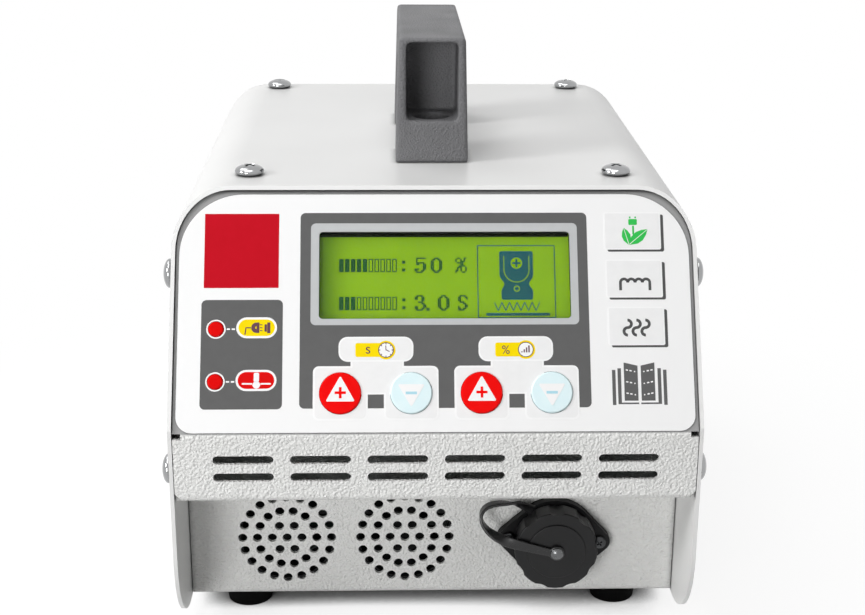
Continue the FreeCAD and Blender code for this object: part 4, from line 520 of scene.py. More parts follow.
def slot_materials():
    """One finish for each material slot of the record."""
    colours = bpy.context.scene.dent_colours
    return {
        "white_powder_coat": powder_coat_smooth(),
        "textured_powder_coat": powder_coat_wrinkle(),
        "printed_film": polyester_film(),
        "clear_plastic": clear_acrylic(),
        "steel_plate": bright_metal("steel_tinned", "#3A3C3C", "#303232", (0.4, 0.5)),
        "display_green": backlit_glass(),
        "green_board": finish("solder_mask_green", "#10512F", "#0C4526", (0.25, 0.4), grain=3,
                              relief=0.01, patch=14),
        "zinc_steel": bright_metal("steel_zinc_plated", "#B9BCBE", "#A5A9AC", (0.25, 0.4)),
        "black_nylon": moulded_black(),
        "red_key": key_plastic("red", colours.red, "#EE0504"),
        "blue_key": key_plastic("light_blue", colours.blue, "#DEF6FB"),
        "red_lens": key_plastic("lens_red", "#DE0404", "#E60A08"),
        "black_alloy": finish("alloy_black_coated", "#060607", "#0C0C0D", (0.4, 0.5), grain=0.8,
                              relief=0.01, patch=6, sockets={"Specular IOR Level": 0.2}),
        "black_rubber": rubber_black(),
        "grey_insert": moulded_black("phenolic_grey", "#3A3A3C", (0.45, 0.55)),
        "brass_contact": bright_metal("brass_plated", "#D9B45C", "#C9A24B"),
        "chrome_screw": bright_metal("steel_chromed", "#ACADAE", "#9A9B9C", (0.06, 0.14)),
        "handle_plastic": handle_plastic(),
        "plain_aluminium": bright_metal("aluminium_extruded", "#C9CBCD", "#B9BBBE", (0.3, 0.42), 0.4,
                                        0.012),
        "ferrite": finish("ferrite_sintered", "#26262A", "#323236", (0.55, 0.7), grain=0.5, relief=0.03,
                          patch=4),
        "copper_tape": finish("polyester_tape_yellow", "#D9A516", "#C9950E", (0.25, 0.35), grain=2,
                              relief=0.02, patch=8),
        "capacitor_sleeve": finish("sleeve_shrunk_blue", "#16244F", "#101B40", (0.2, 0.32), grain=3,
                                   relief=0.01, patch=10),
        "film_box": finish("epoxy_box_red", "#8A1F16", "#7A1A12", (0.3, 0.4), grain=1.5, relief=0.01,
                           patch=8),
        "copper_wire": bright_metal("copper_enamelled", "#B4622C", "#9E4F1E", (0.2, 0.3), 1.4, 0.12),
    }


# Operators

class DENT_OT_finish_nodes(bpy.types.Operator):
    """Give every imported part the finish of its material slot"""
    bl_idname = "dent.finish_nodes"
    bl_label = "Finish the packed parts"

    def execute(self, context):
        made = slot_materials()
        for name, part in NODES.items():
            part.data.materials.clear()
            part.data.materials.append(made[SLOTS[name]])
        NODES["cap_rivet"].data.materials[0] = bright_metal("steel_rivet", "#6C6D6E", "#5E5F60", (0.2, 0.32))
        # The front sheet's coat gets grey painted shade above the nose
        NODES["front_sheet"].data.materials[0] = powder_coat_wrinkle("powder_coat_front_painted_shade", NOSE.z)
        return {"FINISHED"}


def cutter_for_label():
    """Prisms of the window, key and lamp holes, which every layer of print leaves open."""
    sizes = bpy.context.scene.dent_print
    shape = bmesh.new()
    faces = patch_rectangle(shape, *WINDOW, 1.5)
    for u in KEY_PLACES:
        faces += patch_disc(shape, u, KEY_V, sizes.key_radius)
    for v in LAMP_ROWS:
        faces += patch_disc(shape, LAMP_U, v, sizes.lamp_radius)
    flat_plate(shape, faces, -2, 3)
    on_face(shape)
    bmesh.ops.recalc_face_normals(shape, faces=shape.faces)
    return linked("label_holes", as_mesh("label_holes", shape))


def punch(piece, cutter):
    """Takes the cutter out of a piece for good."""
    piece.modifiers.new("holes", "BOOLEAN").object = cutter
    apply_modifiers(piece)


def punch_shape(piece, shape):
    """Takes a bmesh, which is used up, out of a piece."""
    cutter = linked("cutter", as_mesh("cutter", shape))
    punch(piece, cutter)
    bpy.data.objects.remove(cutter)


def print_layer(name, level, material, draw, cutter=None, base=LABEL_TOP, body="root"):
    """One layer of print: draw adds flat faces in (u, v), which get the height of level inks."""
    ink = bpy.context.scene.dent_print.ink
    shape = bmesh.new()
    flat_plate(shape, draw(shape), base - ink, base + level * ink)
    on_face(shape)
    piece = new_piece(name, shape, material, body)
    if cutter:
        punch(piece, cutter)
    return piece


def draw_rectangles(*boxes, radius=0.0):
    """Drawing of rectangles, each left, low, right, top."""
    return lambda shape: [face for box in boxes for face in patch_rectangle(shape, *box, radius)]


def inset(box, by):
    """The rectangle that much smaller on every side."""
    return (box[0] + by, box[1] + by, box[2] - by, box[3] - by)


def key_tile(u):
    """The white square round a key."""
    half = bpy.context.scene.dent_print.tile / 2
    return (u - half, KEY_V - half, u + half, KEY_V + half)


def in_groups(box):
    """The same rectangle in the time group and in the power group."""
    return [(box[0] + step, box[1], box[2] + step, box[3]) for step in (0, GROUP_STEP)]


def draw_discs(radius, *middles):
    """Drawing of discs."""
    return lambda shape: [face for u, v in middles for face in patch_disc(shape, u, v, radius)]


def draw_book(shape):
    """Open book in front view: two pages and the edges of the leaves behind them."""
    faces = []
    for side in (-1, 1):
        page = [(0.6, 10.9), (5.8, 10.9), (5.8, 25.4), (0.6, 24.2)]
        faces += patch_outline(shape, [(BOOK_U + side * u, v) for u, v in page[::side]])
        leaf = [(0.4, 9.6), (8.2, 9.6), (8.2, 23.2), (6.9, 23.2), (6.9, 10.2), (0.4, 10.2)]
        faces += patch_outline(shape, [(BOOK_U + side * u, v) for u, v in leaf[::side]])
        edge = [(9.0, 9.3), (10.3, 9.3), (10.3, 22.6), (9.0, 22.6)]
        faces += patch_outline(shape, [(BOOK_U + side * u, v) for u, v in edge[::side]])
    return faces


def draw_book_lines(shape):
    """Three rows of three short dashes on each page."""
    faces = []
    for side in (-1, 1):
        for v in (13.1, 17.4, 21.9):
            for u, length in ((1.5, 0.5), (2.8, 0.9), (4.2, 0.9)):
                rise = 0.2 * u
                end = (BOOK_U + side * (u + length), v - 0.3 + rise + 0.2 * length)
                faces += patch_bar(shape, (BOOK_U + side * u, v - 0.3 + rise), end, 0.5, 0.2)
    return faces


def draw_plug_and_leaves(shape):
    """Small plug that grows out of two leaves."""
    u, v = ICON_U, 76.0
    faces = patch_rectangle(shape, u - 1.8, v + 2.8, u + 1.5, v + 5.1, 0.4)
    faces += patch_rectangle(shape, u - 1.5, v + 5.4, u - 0.9, v + 6.1, 0.2)
    faces += patch_rectangle(shape, u + 0.6, v + 5.4, u + 1.2, v + 6.1, 0.2)
    faces += patch_rectangle(shape, u - 0.4, v - 1.0, u + 0.3, v + 2.5, 0.1)
    for lean, length, across in ((106, 6.9, 1.7), (40, 9.4, 2.1)):
        for half in (-1, 1):
            leaf = [(0, half * 0.14), (length * 0.3, half * (across * 0.86)),
                    (length * 0.55, half * across), (length * 0.8, half * (across * 0.62)),
                    (length, half * 0.1)]
            made = patch_outline(shape, leaf[::half])
            stem = Matrix.Translation((u - 1.8, v - 5.0, 0))
            move_faces(shape, made, stem @ Matrix.Rotation(math.radians(lean), 4, "Z"))
            faces += made
    return faces


def draw_coil_sign(shape):
    """Sign of a coil: four half turns in a row between two leads."""
    v = 56.2
    faces = []
    for i in range(4):
        faces += patch_arc(shape, ICON_U - 4.2 + 2.8 * i, v, 1.4, 1.05, 0, 180, 14)
    for side in (-1, 1):
        faces += patch_bar(shape, (ICON_U + side * 5.6, v), (ICON_U + side * 5.6, v - 3.0), 1.05)
    return faces


def draw_heat_sign(shape):
    """Three rising waves of warmth."""
    faces = []
    for i in range(3):
        u = ICON_U + 3.4 * (i - 1)
        faces += patch_arc(shape, u, 40.2, 1.45, 1.1, -90, 180, 12)
        faces += patch_arc(shape, u, 37.3, 1.45, 1.1, 90, 180, 12)
    return faces


def draw_cable_sign(shape):
    """Plug with its cable, and the socket that it goes into."""
    u, v = PILL_U, LAMP_ROWS[0] + 0.5
    faces = patch_arc(shape, u - 0.2, v, 1.25, 1.5, 90, 180, 12)
    faces += patch_rectangle(shape, u - 0.2, v - 2.0, u + 0.9, v + 2.0, 0.2)
    for rise in (-1.1, 0, 1.1):
        faces += patch_bar(shape, (u + 1.1, v + rise), (u + 2.0, v + rise), 0.35)
    faces += patch_rectangle(shape, u + 2.8, v - 1.5, u + 3.7, v + 1.3, 0.2)
    faces += patch_rectangle(shape, u + 3.8, v - 2.1, u + 5.0, v + 2.0, 0.2)
    faces += patch_bar(shape, (u - 3.9, v), (u - 2.3, v), 0.45)
    faces += patch_bar(shape, (u - 4.1, v + 0.2), (u - 4.5, v - 2.6), 0.45)
    return faces


def draw_heat_gauge(shape):
    """Upright gauge on a line, the sign of heat."""
    u, v = PILL_U, LAMP_ROWS[1] + 0.5
    faces = patch_rectangle(shape, u - 1.0, v - 0.6, u + 1.0, v + 2.9, 0.6)
    faces += patch_disc(shape, u, v - 1.7, 1.4, 24)
    faces += patch_bar(shape, (u - 5.4, v - 1.3), (u - 1.5, v - 1.3), 0.6, 0.2)
    faces += patch_bar(shape, (u + 1.5, v - 1.3), (u + 5.4, v - 1.3), 0.6, 0.2)
    return faces


def draw_clock(shape):
    """Hands and hour marks of the clock."""
    u, v = TAG_DISC
    faces = patch_bar(shape, (u, v - 0.2), (u - 0.1, v + 1.7), 0.3)
    faces += patch_bar(shape, (u + 0.1, v + 0.1), (u + 1.3, v - 0.6), 0.3)
    for i in range(8):
        way = Vector((math.cos(math.pi * i / 4), math.sin(math.pi * i / 4)))
        faces += patch_bar(shape, (u + 2.15 * way.x, v + 2.15 * way.y),
                           (u + 2.65 * way.x, v + 2.65 * way.y), 0.35)
    return faces


def draw_level_bars(shape):
    """Four rising bars, the sign of power."""
    u, v = TAG_DISC[0] + GROUP_STEP, TAG_DISC[1]
    return [face for i in range(4) for face in patch_rectangle(
        shape, u - 1.75 + 0.9 * i, v - 1.1, u - 1.2 + 0.9 * i, v - 0.7 + 0.75 * i)]


def print_text(name, body, u, v, size, material, level):
    """Number or unit sign, its left end and foot at (u, v)."""
    ink = bpy.context.scene.dent_print.ink
    curve = bpy.data.curves.new(name, "FONT")
    curve.body = body
    curve.size = size
    curve.extrude = level * ink / 2 + ink / 2
    holder = linked(name, curve)
    shape = bmesh.new()
    shape.from_mesh(as_seen(holder))
    bpy.data.objects.remove(holder)
    bmesh.ops.translate(shape, verts=shape.verts, vec=(u, v, LABEL_TOP + (level - 1) * ink / 2))
    on_face(shape)
    return new_piece(name, shape, material)


class DENT_OT_print_label(bpy.types.Operator):
    """Print the boxes, tiles, tags and signs on the label of the slanted face"""
    bl_idname = "dent.print_label"
    bl_label = "Print the label"

    def execute(self, context):
        colours = context.scene.dent_colours
        cutter = cutter_for_label()
        grey = screen_ink("grey", colours.grey_ink)
        dark = screen_ink("dark_grey", "#585858")
        band = screen_ink("band_grey", "#C6C8C9")
        white = screen_ink("white", "#FEFEFE")
        off_white = screen_ink("off_white", "#F6F6F6")
        yellow = screen_ink("yellow", "#FFE200")
        pill_red = screen_ink("pill_red", "#E20505")
        deep_red = screen_ink("deep_red", "#C60820")
        green = screen_ink("green", "#3CC659")
        brown = screen_ink("brown", "#6C4B58")
        boxes = draw_rectangles(LAMP_BOX, MAIN_BOX, radius=1.9)
        print_layer("print_grey_boxes", 1, grey, boxes, cutter)
        print_layer("print_red_square", 1, deep_red, draw_rectangles(RED_SQUARE, radius=0.2))
        print_layer("print_window_band", 2, band, draw_rectangles(WINDOW_BAND, radius=1.9), cutter)
        tiles = [key_tile(u) for u in KEY_PLACES]
        print_layer("print_key_tiles", 2, white, draw_rectangles(*tiles, radius=2.2), cutter)
        print_layer("print_tile_fills", 3, off_white,
                    draw_rectangles(*[inset(tile, 0.75) for tile in tiles], radius=1.6), cutter)
        print_layer("print_caption_necks", 1.6, white, draw_rectangles(*in_groups(CAPTION_NECK)))
        print_layer("print_caption_pills", 2.4, white, draw_rectangles(*in_groups(CAPTION_PILL), radius=3.4))
        left, low, right, top = CAPTION_NECK
        print_layer("print_neck_fills", 2.2, off_white,
                    draw_rectangles(*in_groups((left + 0.7, low + 0.7, right - 0.7, top))))
        print_layer("print_pill_fills", 3, off_white,
                    draw_rectangles(*in_groups(inset(CAPTION_PILL, 0.6)), radius=2.8))
        print_layer("print_tags", 4, yellow, draw_rectangles(*in_groups(CAPTION_TAG), radius=0.8))
        discs = [TAG_DISC, (TAG_DISC[0] + GROUP_STEP, TAG_DISC[1])]
        print_layer("print_tag_discs", 4.5, yellow, draw_discs(3.55, *discs))
        print_layer("print_dial_rims", 5, brown, draw_discs(2.95, *discs))
        print_layer("print_dials", 5.5, white, draw_discs(2.62, *discs))
        print_layer("print_clock", 6, brown, draw_clock)
        print_layer("print_level_bars", 6, brown, draw_level_bars)
        u, v = TAG_TEXT
        print_text("print_second_sign", "s", u + 0.4, v - 0.3, 5.6, brown, 5)
        print_text("print_percent_sign", "%", u - 0.9 + GROUP_STEP, v - 0.6, 4.6, brown, 5)
        rings = draw_discs(3.65, *[(LAMP_U, v) for v in LAMP_ROWS])
        print_layer("print_lamp_rings", 2, white, rings, cutter)
        dashes = [(u, v - 0.3, u + 1.3, v + 0.3) for v in LAMP_ROWS for u in (LAMP_U + 4.0, LAMP_U + 5.9)]
        print_layer("print_lamp_dashes", 2, white, draw_rectangles(*dashes, radius=0.15))
        pills = [(-75.0, v - 3.5, -59.7, v + 4.5) for v in LAMP_ROWS]
        print_layer("print_pill_rims", 2, white, draw_rectangles(*pills, radius=3.95))
        print_layer("print_yellow_pill", 3, yellow, draw_rectangles(inset(pills[0], 0.85), radius=3.1))
        print_layer("print_red_pill", 3, pill_red, draw_rectangles(inset(pills[1], 0.85), radius=3.1))
        print_layer("print_cable_sign", 4, brown, draw_cable_sign)
        print_layer("print_heat_gauge", 4, white, draw_heat_gauge)
        shadows = [(left + 1.3, low, right, top - 1.0) for left, low, right, top in PLATES]
        sheets = [(left, low + 0.8, right - 1.1, top) for left, low, right, top in PLATES]
        print_layer("print_plate_shadows", 1, dark, draw_rectangles(*shadows, radius=0.7))
        print_layer("print_plates", 2, white, draw_rectangles(*sheets, radius=0.7))
        fills = [inset(sheet, 0.55) for sheet in sheets]
        print_layer("print_plate_fills", 3, off_white, draw_rectangles(*fills, radius=0.4))
        print_layer("print_leaf_sign", 4, green, draw_plug_and_leaves)
        print_layer("print_coil_sign", 4, dark, draw_coil_sign)
        print_layer("print_warmth_sign", 4, dark, draw_heat_sign)
        print_layer("print_book", 1, grey, draw_book)
        print_layer("print_book_lines", 2, white, draw_book_lines)
        bpy.data.objects.remove(cutter)
        return {"FINISHED"}


DIGITS = {
    "5": (".######", ".#.....", ".#.....", ".#####.", ".##..##", ".....##", ".....##", "###..##", "##..##.",
          ".####.."),
    "0": ("..###..", ".##.##.", "##...##", "##...##", "##...##", "##...##", "##...##", "##...##", ".##.##.",
          "..###.."),
    "3": (".####..", "##..##.", "##..##.", "....##.", "..###..", "....##.", ".....##", "##...##", "##..##.",
          ".####.."),
    "%": (".##..##", "#..#.#.", "#..###.", ".####..", "...##..", "..####.", ".###..#", ".#.#..#", "##.#..#",
          "#...##."),
    "S": ("..####.", ".##..##", ".##...#", ".##....", "..###..", "....##.", ".....##", ".#...##", ".##.##.",
          ".####.."),
    ".": ("", "", "", "", "", "", "", "", ".##....", ".##...."),
    ":": ("", "", "..##...", "..##...", "", "", "", "..##...", "..##...", ""),
}
DOTS_ACROSS = 7
DOTS_UP = 10
DOT_GAP = 0.02
SIGN_SIZE = (4.5, 6.1)


def draw_digits(shape, text, v):
    """Dot-matrix signs, each with its left end at its own place and its foot at v."""
    faces = []
    dot_u, dot_v = SIGN_SIZE[0] / DOTS_ACROSS, SIGN_SIZE[1] / DOTS_UP
    for place, sign in text:
        for row, dots in enumerate(DIGITS[sign]):
            for column, dot in enumerate(dots):
                if dot == "#":
                    left, low = place + column * dot_u, v + (DOTS_UP - 1 - row) * dot_v
                    faces += patch_rectangle(shape, *inset((left, low, left + dot_u, low + dot_v), DOT_GAP))
    return faces


def draw_readings(shape):
    """The two readings of the display."""
    faces = draw_digits(shape, ((-13.9, ":"), (-7.9, "5"), (-1.7, "0"), (7.7, "%")), 60.8)
    places = ((-13.9, ":"), (-7.9, "3"), (-4.1, "."), (0.9, "0"), (7.9, "S"))
    return faces + draw_digits(shape, places, 46.1)


def draw_gauges(shape):
    """Ten blocks for each reading, as many of them filled as the reading says."""
    faces = []
    for low, filled in ((61.2, 5), (46.4, 3)):
        for i in range(10):
            left = -36.6 + 2.25 * i
            block = (left, low, left + 1.75, low + 5.2)
            faces += patch_rectangle(shape, *block)
            if i >= filled:
                faces += patch_ring(shape, [faces.pop()], patch_rectangle(shape, *inset(block, 0.4)))
    return faces


def draw_heated_panel(shape):
    """Picture of a pad over a panel with the heat between them."""
    faces = patch_ring(shape, patch_rectangle(shape, 16.1, 43.2, 46.0, 71.7),
                       patch_rectangle(shape, 16.5, 43.6, 45.6, 71.3))
    faces += patch_rectangle(shape, 19.3, 44.1, 43.6, 45.2)
    for i in range(12):
        rise = 1.6 if i % 2 else -1.6
        faces += patch_bar(shape, (22.5 + 1.44 * i, 47.7 - rise), (23.94 + 1.44 * i, 47.7 + rise), 0.4)
    pad = [(25.3, 50.3), (37.2, 50.3), (37.4, 53.9), (35.6, 56.5), (37.5, 59.3), (37.5, 69.3),
           (24.6, 69.3), (24.6, 59.3), (26.6, 56.5), (25.2, 53.9)]
    return faces + patch_outline(shape, pad, 0.7)


def draw_pad_lines(shape):
    """Lines left open in the picture of the pad: its coil, and a round field that holds a cross."""
    faces = patch_arc(shape, PAD_U, 62.0, 4.8, 0.35, 180, 180)
    for side in (-1, 1):
        faces += patch_bar(shape, (PAD_U + side * 4.8, 62.0), (PAD_U + side * 4.8, 67.4), 0.35)
    faces += patch_disc(shape, PAD_U, 64.6, 2.2)
    return faces + patch_ring(shape, patch_disc(shape, PAD_U, 54.6, 1.2),
                              patch_disc(shape, PAD_U, 54.6, 0.8))


def draw_pad_cross(shape):
    """Cross in the round field."""
    return [face for end in ((1.6, 0), (0, 1.6)) for face in patch_bar(
        shape, (PAD_U - end[0], 64.6 - end[1]), (PAD_U + end[0], 64.6 + end[1]), 0.8)]


def print_dots(name, material, draw, level=1):
    """Dots of the display, on the front of its glass."""
    return print_layer(name, level, material, draw, base=GLASS_FRONT)


class DENT_OT_draw_display(bpy.types.Operator):
    """Show the readings, their gauges and the picture on the display"""
    bl_idname = "dent.draw_display"
    bl_label = "Draw the display"

    def execute(self, context):
        text = screen_ink("lcd_signs", "#1E4A26", 0.3)
        dots = screen_ink("lcd_dots", "#1F4F56", 0.3)
        print_dots("display_readings", text, draw_readings)
        print_dots("display_gauges", text, draw_gauges)
        # Painted shade: a dark strip along the glass's top, where the window's upper wall shades it
        border = screen_ink("lcd_painted_top_shade", "#10160A", 0.3)
        print_dots("display_upper_border", border, draw_rectangles(DISPLAY_TOP_SHADE))
        print_dots("display_picture", dots, draw_heated_panel)
        print_dots("display_pad_lines", NODES["lcd_glass"].data.materials[0], draw_pad_lines, 2)
        print_dots("display_pad_cross", dots, draw_pad_cross, 3)
        return {"FINISHED"}


class DENT_OT_mark_keys(bpy.types.Operator):
    """Mark each key with its triangle and its plus or minus sign"""
    bl_idname = "dent.mark_keys"
    bl_label = "Mark the keys"

    def execute(self, context):
        colours = context.scene.dent_colours
        white = screen_ink("key_white", "#FDFDFD", 0.25)
        signs = {1: screen_ink("key_red", colours.red, 0.25), -1: screen_ink("key_blue", "#B4E2F0", 0.25)}
        keys = ("key_time_up", "key_time_down", "key_power_up", "key_power_down")
        for i, name in enumerate(keys):
            u, way = KEY_PLACES[i], 1 if name.endswith("up") else -1

            def triangle(shape):
                half, tip = (5.5, 6.5) if way > 0 else (5.1, 5.4)
                foot = KEY_V - 3.2 * way
                corners = [(u - half, foot), (u + half, foot), (u, KEY_V + tip * way)]
                return patch_outline(shape, corners[::way], 0.8)

            def sign(shape):
                middle = KEY_V + 0.1 * way
                faces = patch_bar(shape, (u - 2.1, middle), (u + 2.1, middle), 1.0)
                if way > 0:
                    faces += patch_bar(shape, (u, middle + 0.5), (u, middle + 2.1), 1.0)
                    faces += patch_bar(shape, (u, middle - 2.1), (u, middle - 0.5), 1.0)
                return faces

            print_layer(name + "_triangle", 1, white, triangle, base=KEY_TOP, body=name)
            print_layer(name + "_sign", 2, signs[way], sign, base=KEY_TOP, body=name)
        return {"FINISHED"}


# Screws

def islands(node):
    """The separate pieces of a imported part, each as the two corners of its box, in a fixed order."""
    shape = bmesh.new()
    shape.from_mesh(NODES[node].data)
    bmesh.ops.transform(shape, matrix=NODES[node].matrix_world, verts=shape.verts)
    bmesh.ops.remove_doubles(shape, verts=shape.verts, dist=1e-6)
    left = set(shape.verts)
    boxes = []
    while left:
        found = [left.pop()]
        for vert in found:
            near = {edge.other_vert(vert) for edge in vert.link_edges} & left
            left -= near
            found += near
        places = [vert.co for vert in found]
        boxes.append((Vector([min(p[i] for p in places) for i in range(3)]),
                      Vector([max(p[i] for p in places) for i in range(3)])))
    shape.free()
    return sorted(boxes, key=lambda box: [round(length / MM) for length in box[0]])


def pan_screw(head, height, shank, length, turn):
    """Pan-headed screw with a cross recess, in millimetres: head above zero, shank below."""
    middle = height * HEAD_MIDDLE_SHARE
    dome = Matrix.Translation((0, 0, middle)) @ Matrix.Diagonal((head, head, height - middle, 1))
    shape = bmesh.new()
    bmesh.ops.create_uvsphere(shape, u_segments=64, v_segments=40, radius=1, matrix=dome)
    bmesh.ops.bisect_plane(shape, geom=shape.verts[:] + shape.edges[:] + shape.faces[:],
                           plane_co=(0, 0, 0), plane_no=(0, 0, 1), clear_inner=True)
    bmesh.ops.holes_fill(shape, edges=[edge for edge in shape.edges if edge.is_boundary])
    bmesh.ops.recalc_face_normals(shape, faces=shape.faces)
    one = linked("screw", as_mesh("screw", shape))
    size = Matrix.Diagonal((head * RECESS_LENGTH_SHARE, head * RECESS_WIDTH_SHARE,
                            height * RECESS_HEIGHT_SHARE, 1))
    for angle in (0, 90):
        shape = bmesh.new()
        place = Matrix.Rotation(math.radians(angle + turn), 4, "Z") @ Matrix.Translation((0, 0, height))
        bar = bmesh.ops.create_cube(shape, size=1, matrix=place @ size)
        foot = [v for v in bar["verts"] if v.co.z < height]
        bmesh.ops.scale(shape, vec=(RECESS_FOOT_SHARE, RECESS_FOOT_SHARE, 1), verts=foot)
        punch_shape(one, shape)
    shape = bmesh.new()
    shape.from_mesh(one.data)
    bpy.data.objects.remove(one)
    bmesh.ops.create_cone(shape, cap_ends=True, segments=32, radius1=shank, radius2=shank, depth=length,
                          matrix=Matrix.Translation((0, 0, -length / 2)))
    return as_mesh("screw", shape)


def fit_screws(node, head, height, shank, material, slot):
    """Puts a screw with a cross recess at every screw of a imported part."""
    shape = bmesh.new()
    for i, (low, high) in enumerate(islands(node)):
        size = high - low
        axis = max(range(3), key=lambda k: size[k])
        middle = (low + high) / 2
        outwards = -1 if (axis == 1 or middle[axis] < 0) else 1
        seat = middle.copy()
        seat[axis] = (high[axis] if outwards > 0 else low[axis]) - outwards * height * MM
        way = Vector((0, 0, 0))
        way[axis] = outwards
        start = len(shape.verts)
        shape.from_mesh(pan_screw(head, height, shank, size[axis] / MM - height, SCREW_TURN * i))
        shape.verts.ensure_lookup_table()
        turn = way.to_track_quat("Z", "Y").to_matrix().to_4x4()
        bmesh.ops.transform(shape, matrix=Matrix.Translation(seat) @ turn @ Matrix.Scale(MM, 4),
                            verts=shape.verts[start:])
    piece = new_piece(node + "_cross_recess", shape, material)
    smooth(piece, 30)
    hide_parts(node)


class DENT_OT_fit_screws(bpy.types.Operator):
    """Put pan-headed screws with a cross recess in the places of the plain ones"""
    bl_idname = "dent.fit_screws"
    bl_label = "Fit the screws"

    def execute(self, context):
        chrome = NODES["case_screws"].data.materials[0]
        fit_screws("case_screws", *CASE_SCREW, chrome, "chrome_screw")
        dark = bright_metal("steel_blackened", "#4A4B4C", "#3E3F40", (0.16, 0.26))
        fit_screws("socket_screws", *SOCKET_SCREW, dark, "chrome_screw")
        return {"FINISHED"}


# Handle

class DENT_OT_mould_handle(bpy.types.Operator):
    """Soften the handle's edges and thin the walls round its two pockets"""
    bl_idname = "dent.mould_handle"
    bl_label = "Mould the handle"

    def execute(self, context):
        low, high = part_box("handle")
        mesh = NODES["handle"].data.copy()
        mesh.transform(NODES["handle"].matrix_world)
        piece = linked("handle_moulded", mesh)
        left, foot, right, top = HANDLE_POCKET
        for end, way in ((low.y, 1), (high.y, -1)):
            shape = bmesh.new()
            flat_plate(shape, patch_rectangle(shape, left, foot, right, top, 2.0), -2, POCKET_DEPTH)
            matrix = Matrix.Translation((0, end, low.z)) @ Matrix.Diagonal((1, way, 1, 1))
            matrix = matrix @ Matrix.Rotation(math.pi / 2, 4, "X") @ Matrix.Diagonal((MM, MM, -MM, 1))
            moved(shape, matrix)
            punch_shape(piece, shape)
        soften(piece, HANDLE_VOXEL, 16)
        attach(piece, "root")
        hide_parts("handle")
        return {"FINISHED"}


# Strap of the cap

def rubber_band(name, points):
    """Flat band through points (across, up, outwards, turn in degrees, share of its width)."""
    section = bpy.data.curves.new(name + "_section", "CURVE")
    outline = section.splines.new("POLY")
    shape = bmesh.new()
    across, thick = STRAP_WIDTH / 2, STRAP_SHEET / 2
    face = patch_rectangle(shape, -across, -thick, across, thick, STRAP_CORNER)[0]
    ring = [loop.vert.co.copy() for loop in face.loops]
    shape.free()
    outline.points.add(len(ring) - 1)
    for point, place in zip(outline.points, ring):
        point.co = (place.x, place.y, 0, 1)
    outline.use_cyclic_u = True
    holder = linked(name + "_section", section)
    curve = bpy.data.curves.new(name, "CURVE")
    curve.dimensions = "3D"
    curve.twist_mode = "Z_UP"
    curve.bevel_mode = "OBJECT"
    curve.bevel_object = holder
    curve.use_fill_caps = True
    line = curve.splines.new("NURBS")
    line.points.add(len(points) - 1)
    line.order_u = 3
    line.use_endpoint_u = True
    line.resolution_u = 16
    for point, (x, z, y, turn, share) in zip(line.points, points):
        point.co = (x, z, y, 1)
        point.tilt = math.radians(turn)
        point.radius = share
    band = linked(name, curve)
    mesh = as_seen(band)
    bpy.data.objects.remove(band)
    bpy.data.objects.remove(holder)
    return mesh


def add_ring(shape, outer, inner, low, high):
    """Flat washer about the cap's axis, from one height to the other."""
    rims = patch_disc(shape, 0, 0, outer, 96), patch_disc(shape, 0, 0, inner, 96)
    flat_plate(shape, patch_ring(shape, *rims), low, high)


class DENT_OT_mould_strap(bpy.types.Operator):
    """Mould the strap of the cap in one soft piece with its eye and its ring"""
    bl_idname = "dent.mould_strap"
    bl_label = "Mould the strap"

    def execute(self, context):
        cap_low, cap_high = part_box("screw_cap")
        strap_low, strap_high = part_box("cap_strap")
        radius = (cap_high.z - cap_low.z) / 2 / MM
        eye = (strap_high.y - cap_low.y) / MM + STRAP_EYE_LEAD
        ring = sum(STRAP_RING_SPAN) / 2
        middle = Vector(((cap_low.x + cap_high.x) / 2, strap_high.y, (cap_low.z + cap_high.z) / 2))
        stations = [(x * radius, z * radius, eye + (ring - eye) * depth, turn, share)
                    for x, z, depth, turn, share in STRAP_STATIONS]
        shape = bmesh.new()
        shape.from_mesh(rubber_band("strap_band", stations))
        add_ring(shape, *STRAP_EYE, eye - STRAP_EYE_HALF, eye + STRAP_EYE_HALF)
        add_ring(shape, *STRAP_RING, *STRAP_RING_SPAN)
        upright = Matrix.Rotation(math.pi / 2, 4, "X") @ Matrix.Scale(MM, 4)
        moved(shape, Matrix.Translation(middle) @ upright)
        mesh = as_mesh("cap_strap_moulded", shape)
        mesh.materials.append(strap_rubber())
        piece = linked("cap_strap_moulded", mesh)
        soften(piece, STRAP_VOXEL, 4)
        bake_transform(piece)
        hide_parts("cap_strap")
        return {"FINISHED"}


# Rear

class DENT_OT_mark_rocker(bpy.types.Operator):
    """Mark the two faces of the rocker with its line and its circle"""
    bl_idname = "dent.mark_rocker"
    bl_label = "Mark the rocker"

    def execute(self, context):
        white = screen_ink("rocker_white", "#EDEDED", 0.3)
        low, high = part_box("rocker")
        middle = (low + high) / 2
        for name, up in (("rocker_line", 1), ("rocker_circle", -1)):
            shape = bmesh.new()
            if up > 0:
                faces = patch_bar(shape, (0, -2.2), (0, 2.2), 0.9)
            else:
                faces = patch_ring(shape, patch_disc(shape, 0, 0, 2.3), patch_disc(shape, 0, 0, 1.5))
            flat_plate(shape, faces, -6, 6)
            place = Vector((middle.x, high.y, middle.z + up * 6.4 * MM))
            upright = Matrix.Rotation(-math.pi / 2, 4, "X") @ Matrix.Scale(MM, 4)
            bmesh.ops.transform(shape, matrix=Matrix.Translation(place) @ upright, verts=shape.verts)
            piece = new_piece(name, shape, white, "rocker")
            meet = piece.modifiers.new("on_the_face", "BOOLEAN")
            meet.operation = "INTERSECT"
            meet.object = NODES["rocker"]
            grow = piece.modifiers.new("proud", "DISPLACE")
            grow.mid_level = 0
            grow.strength = 0.05 * MM
            apply_modifiers(piece)
        return {"FINISHED"}


# Stage

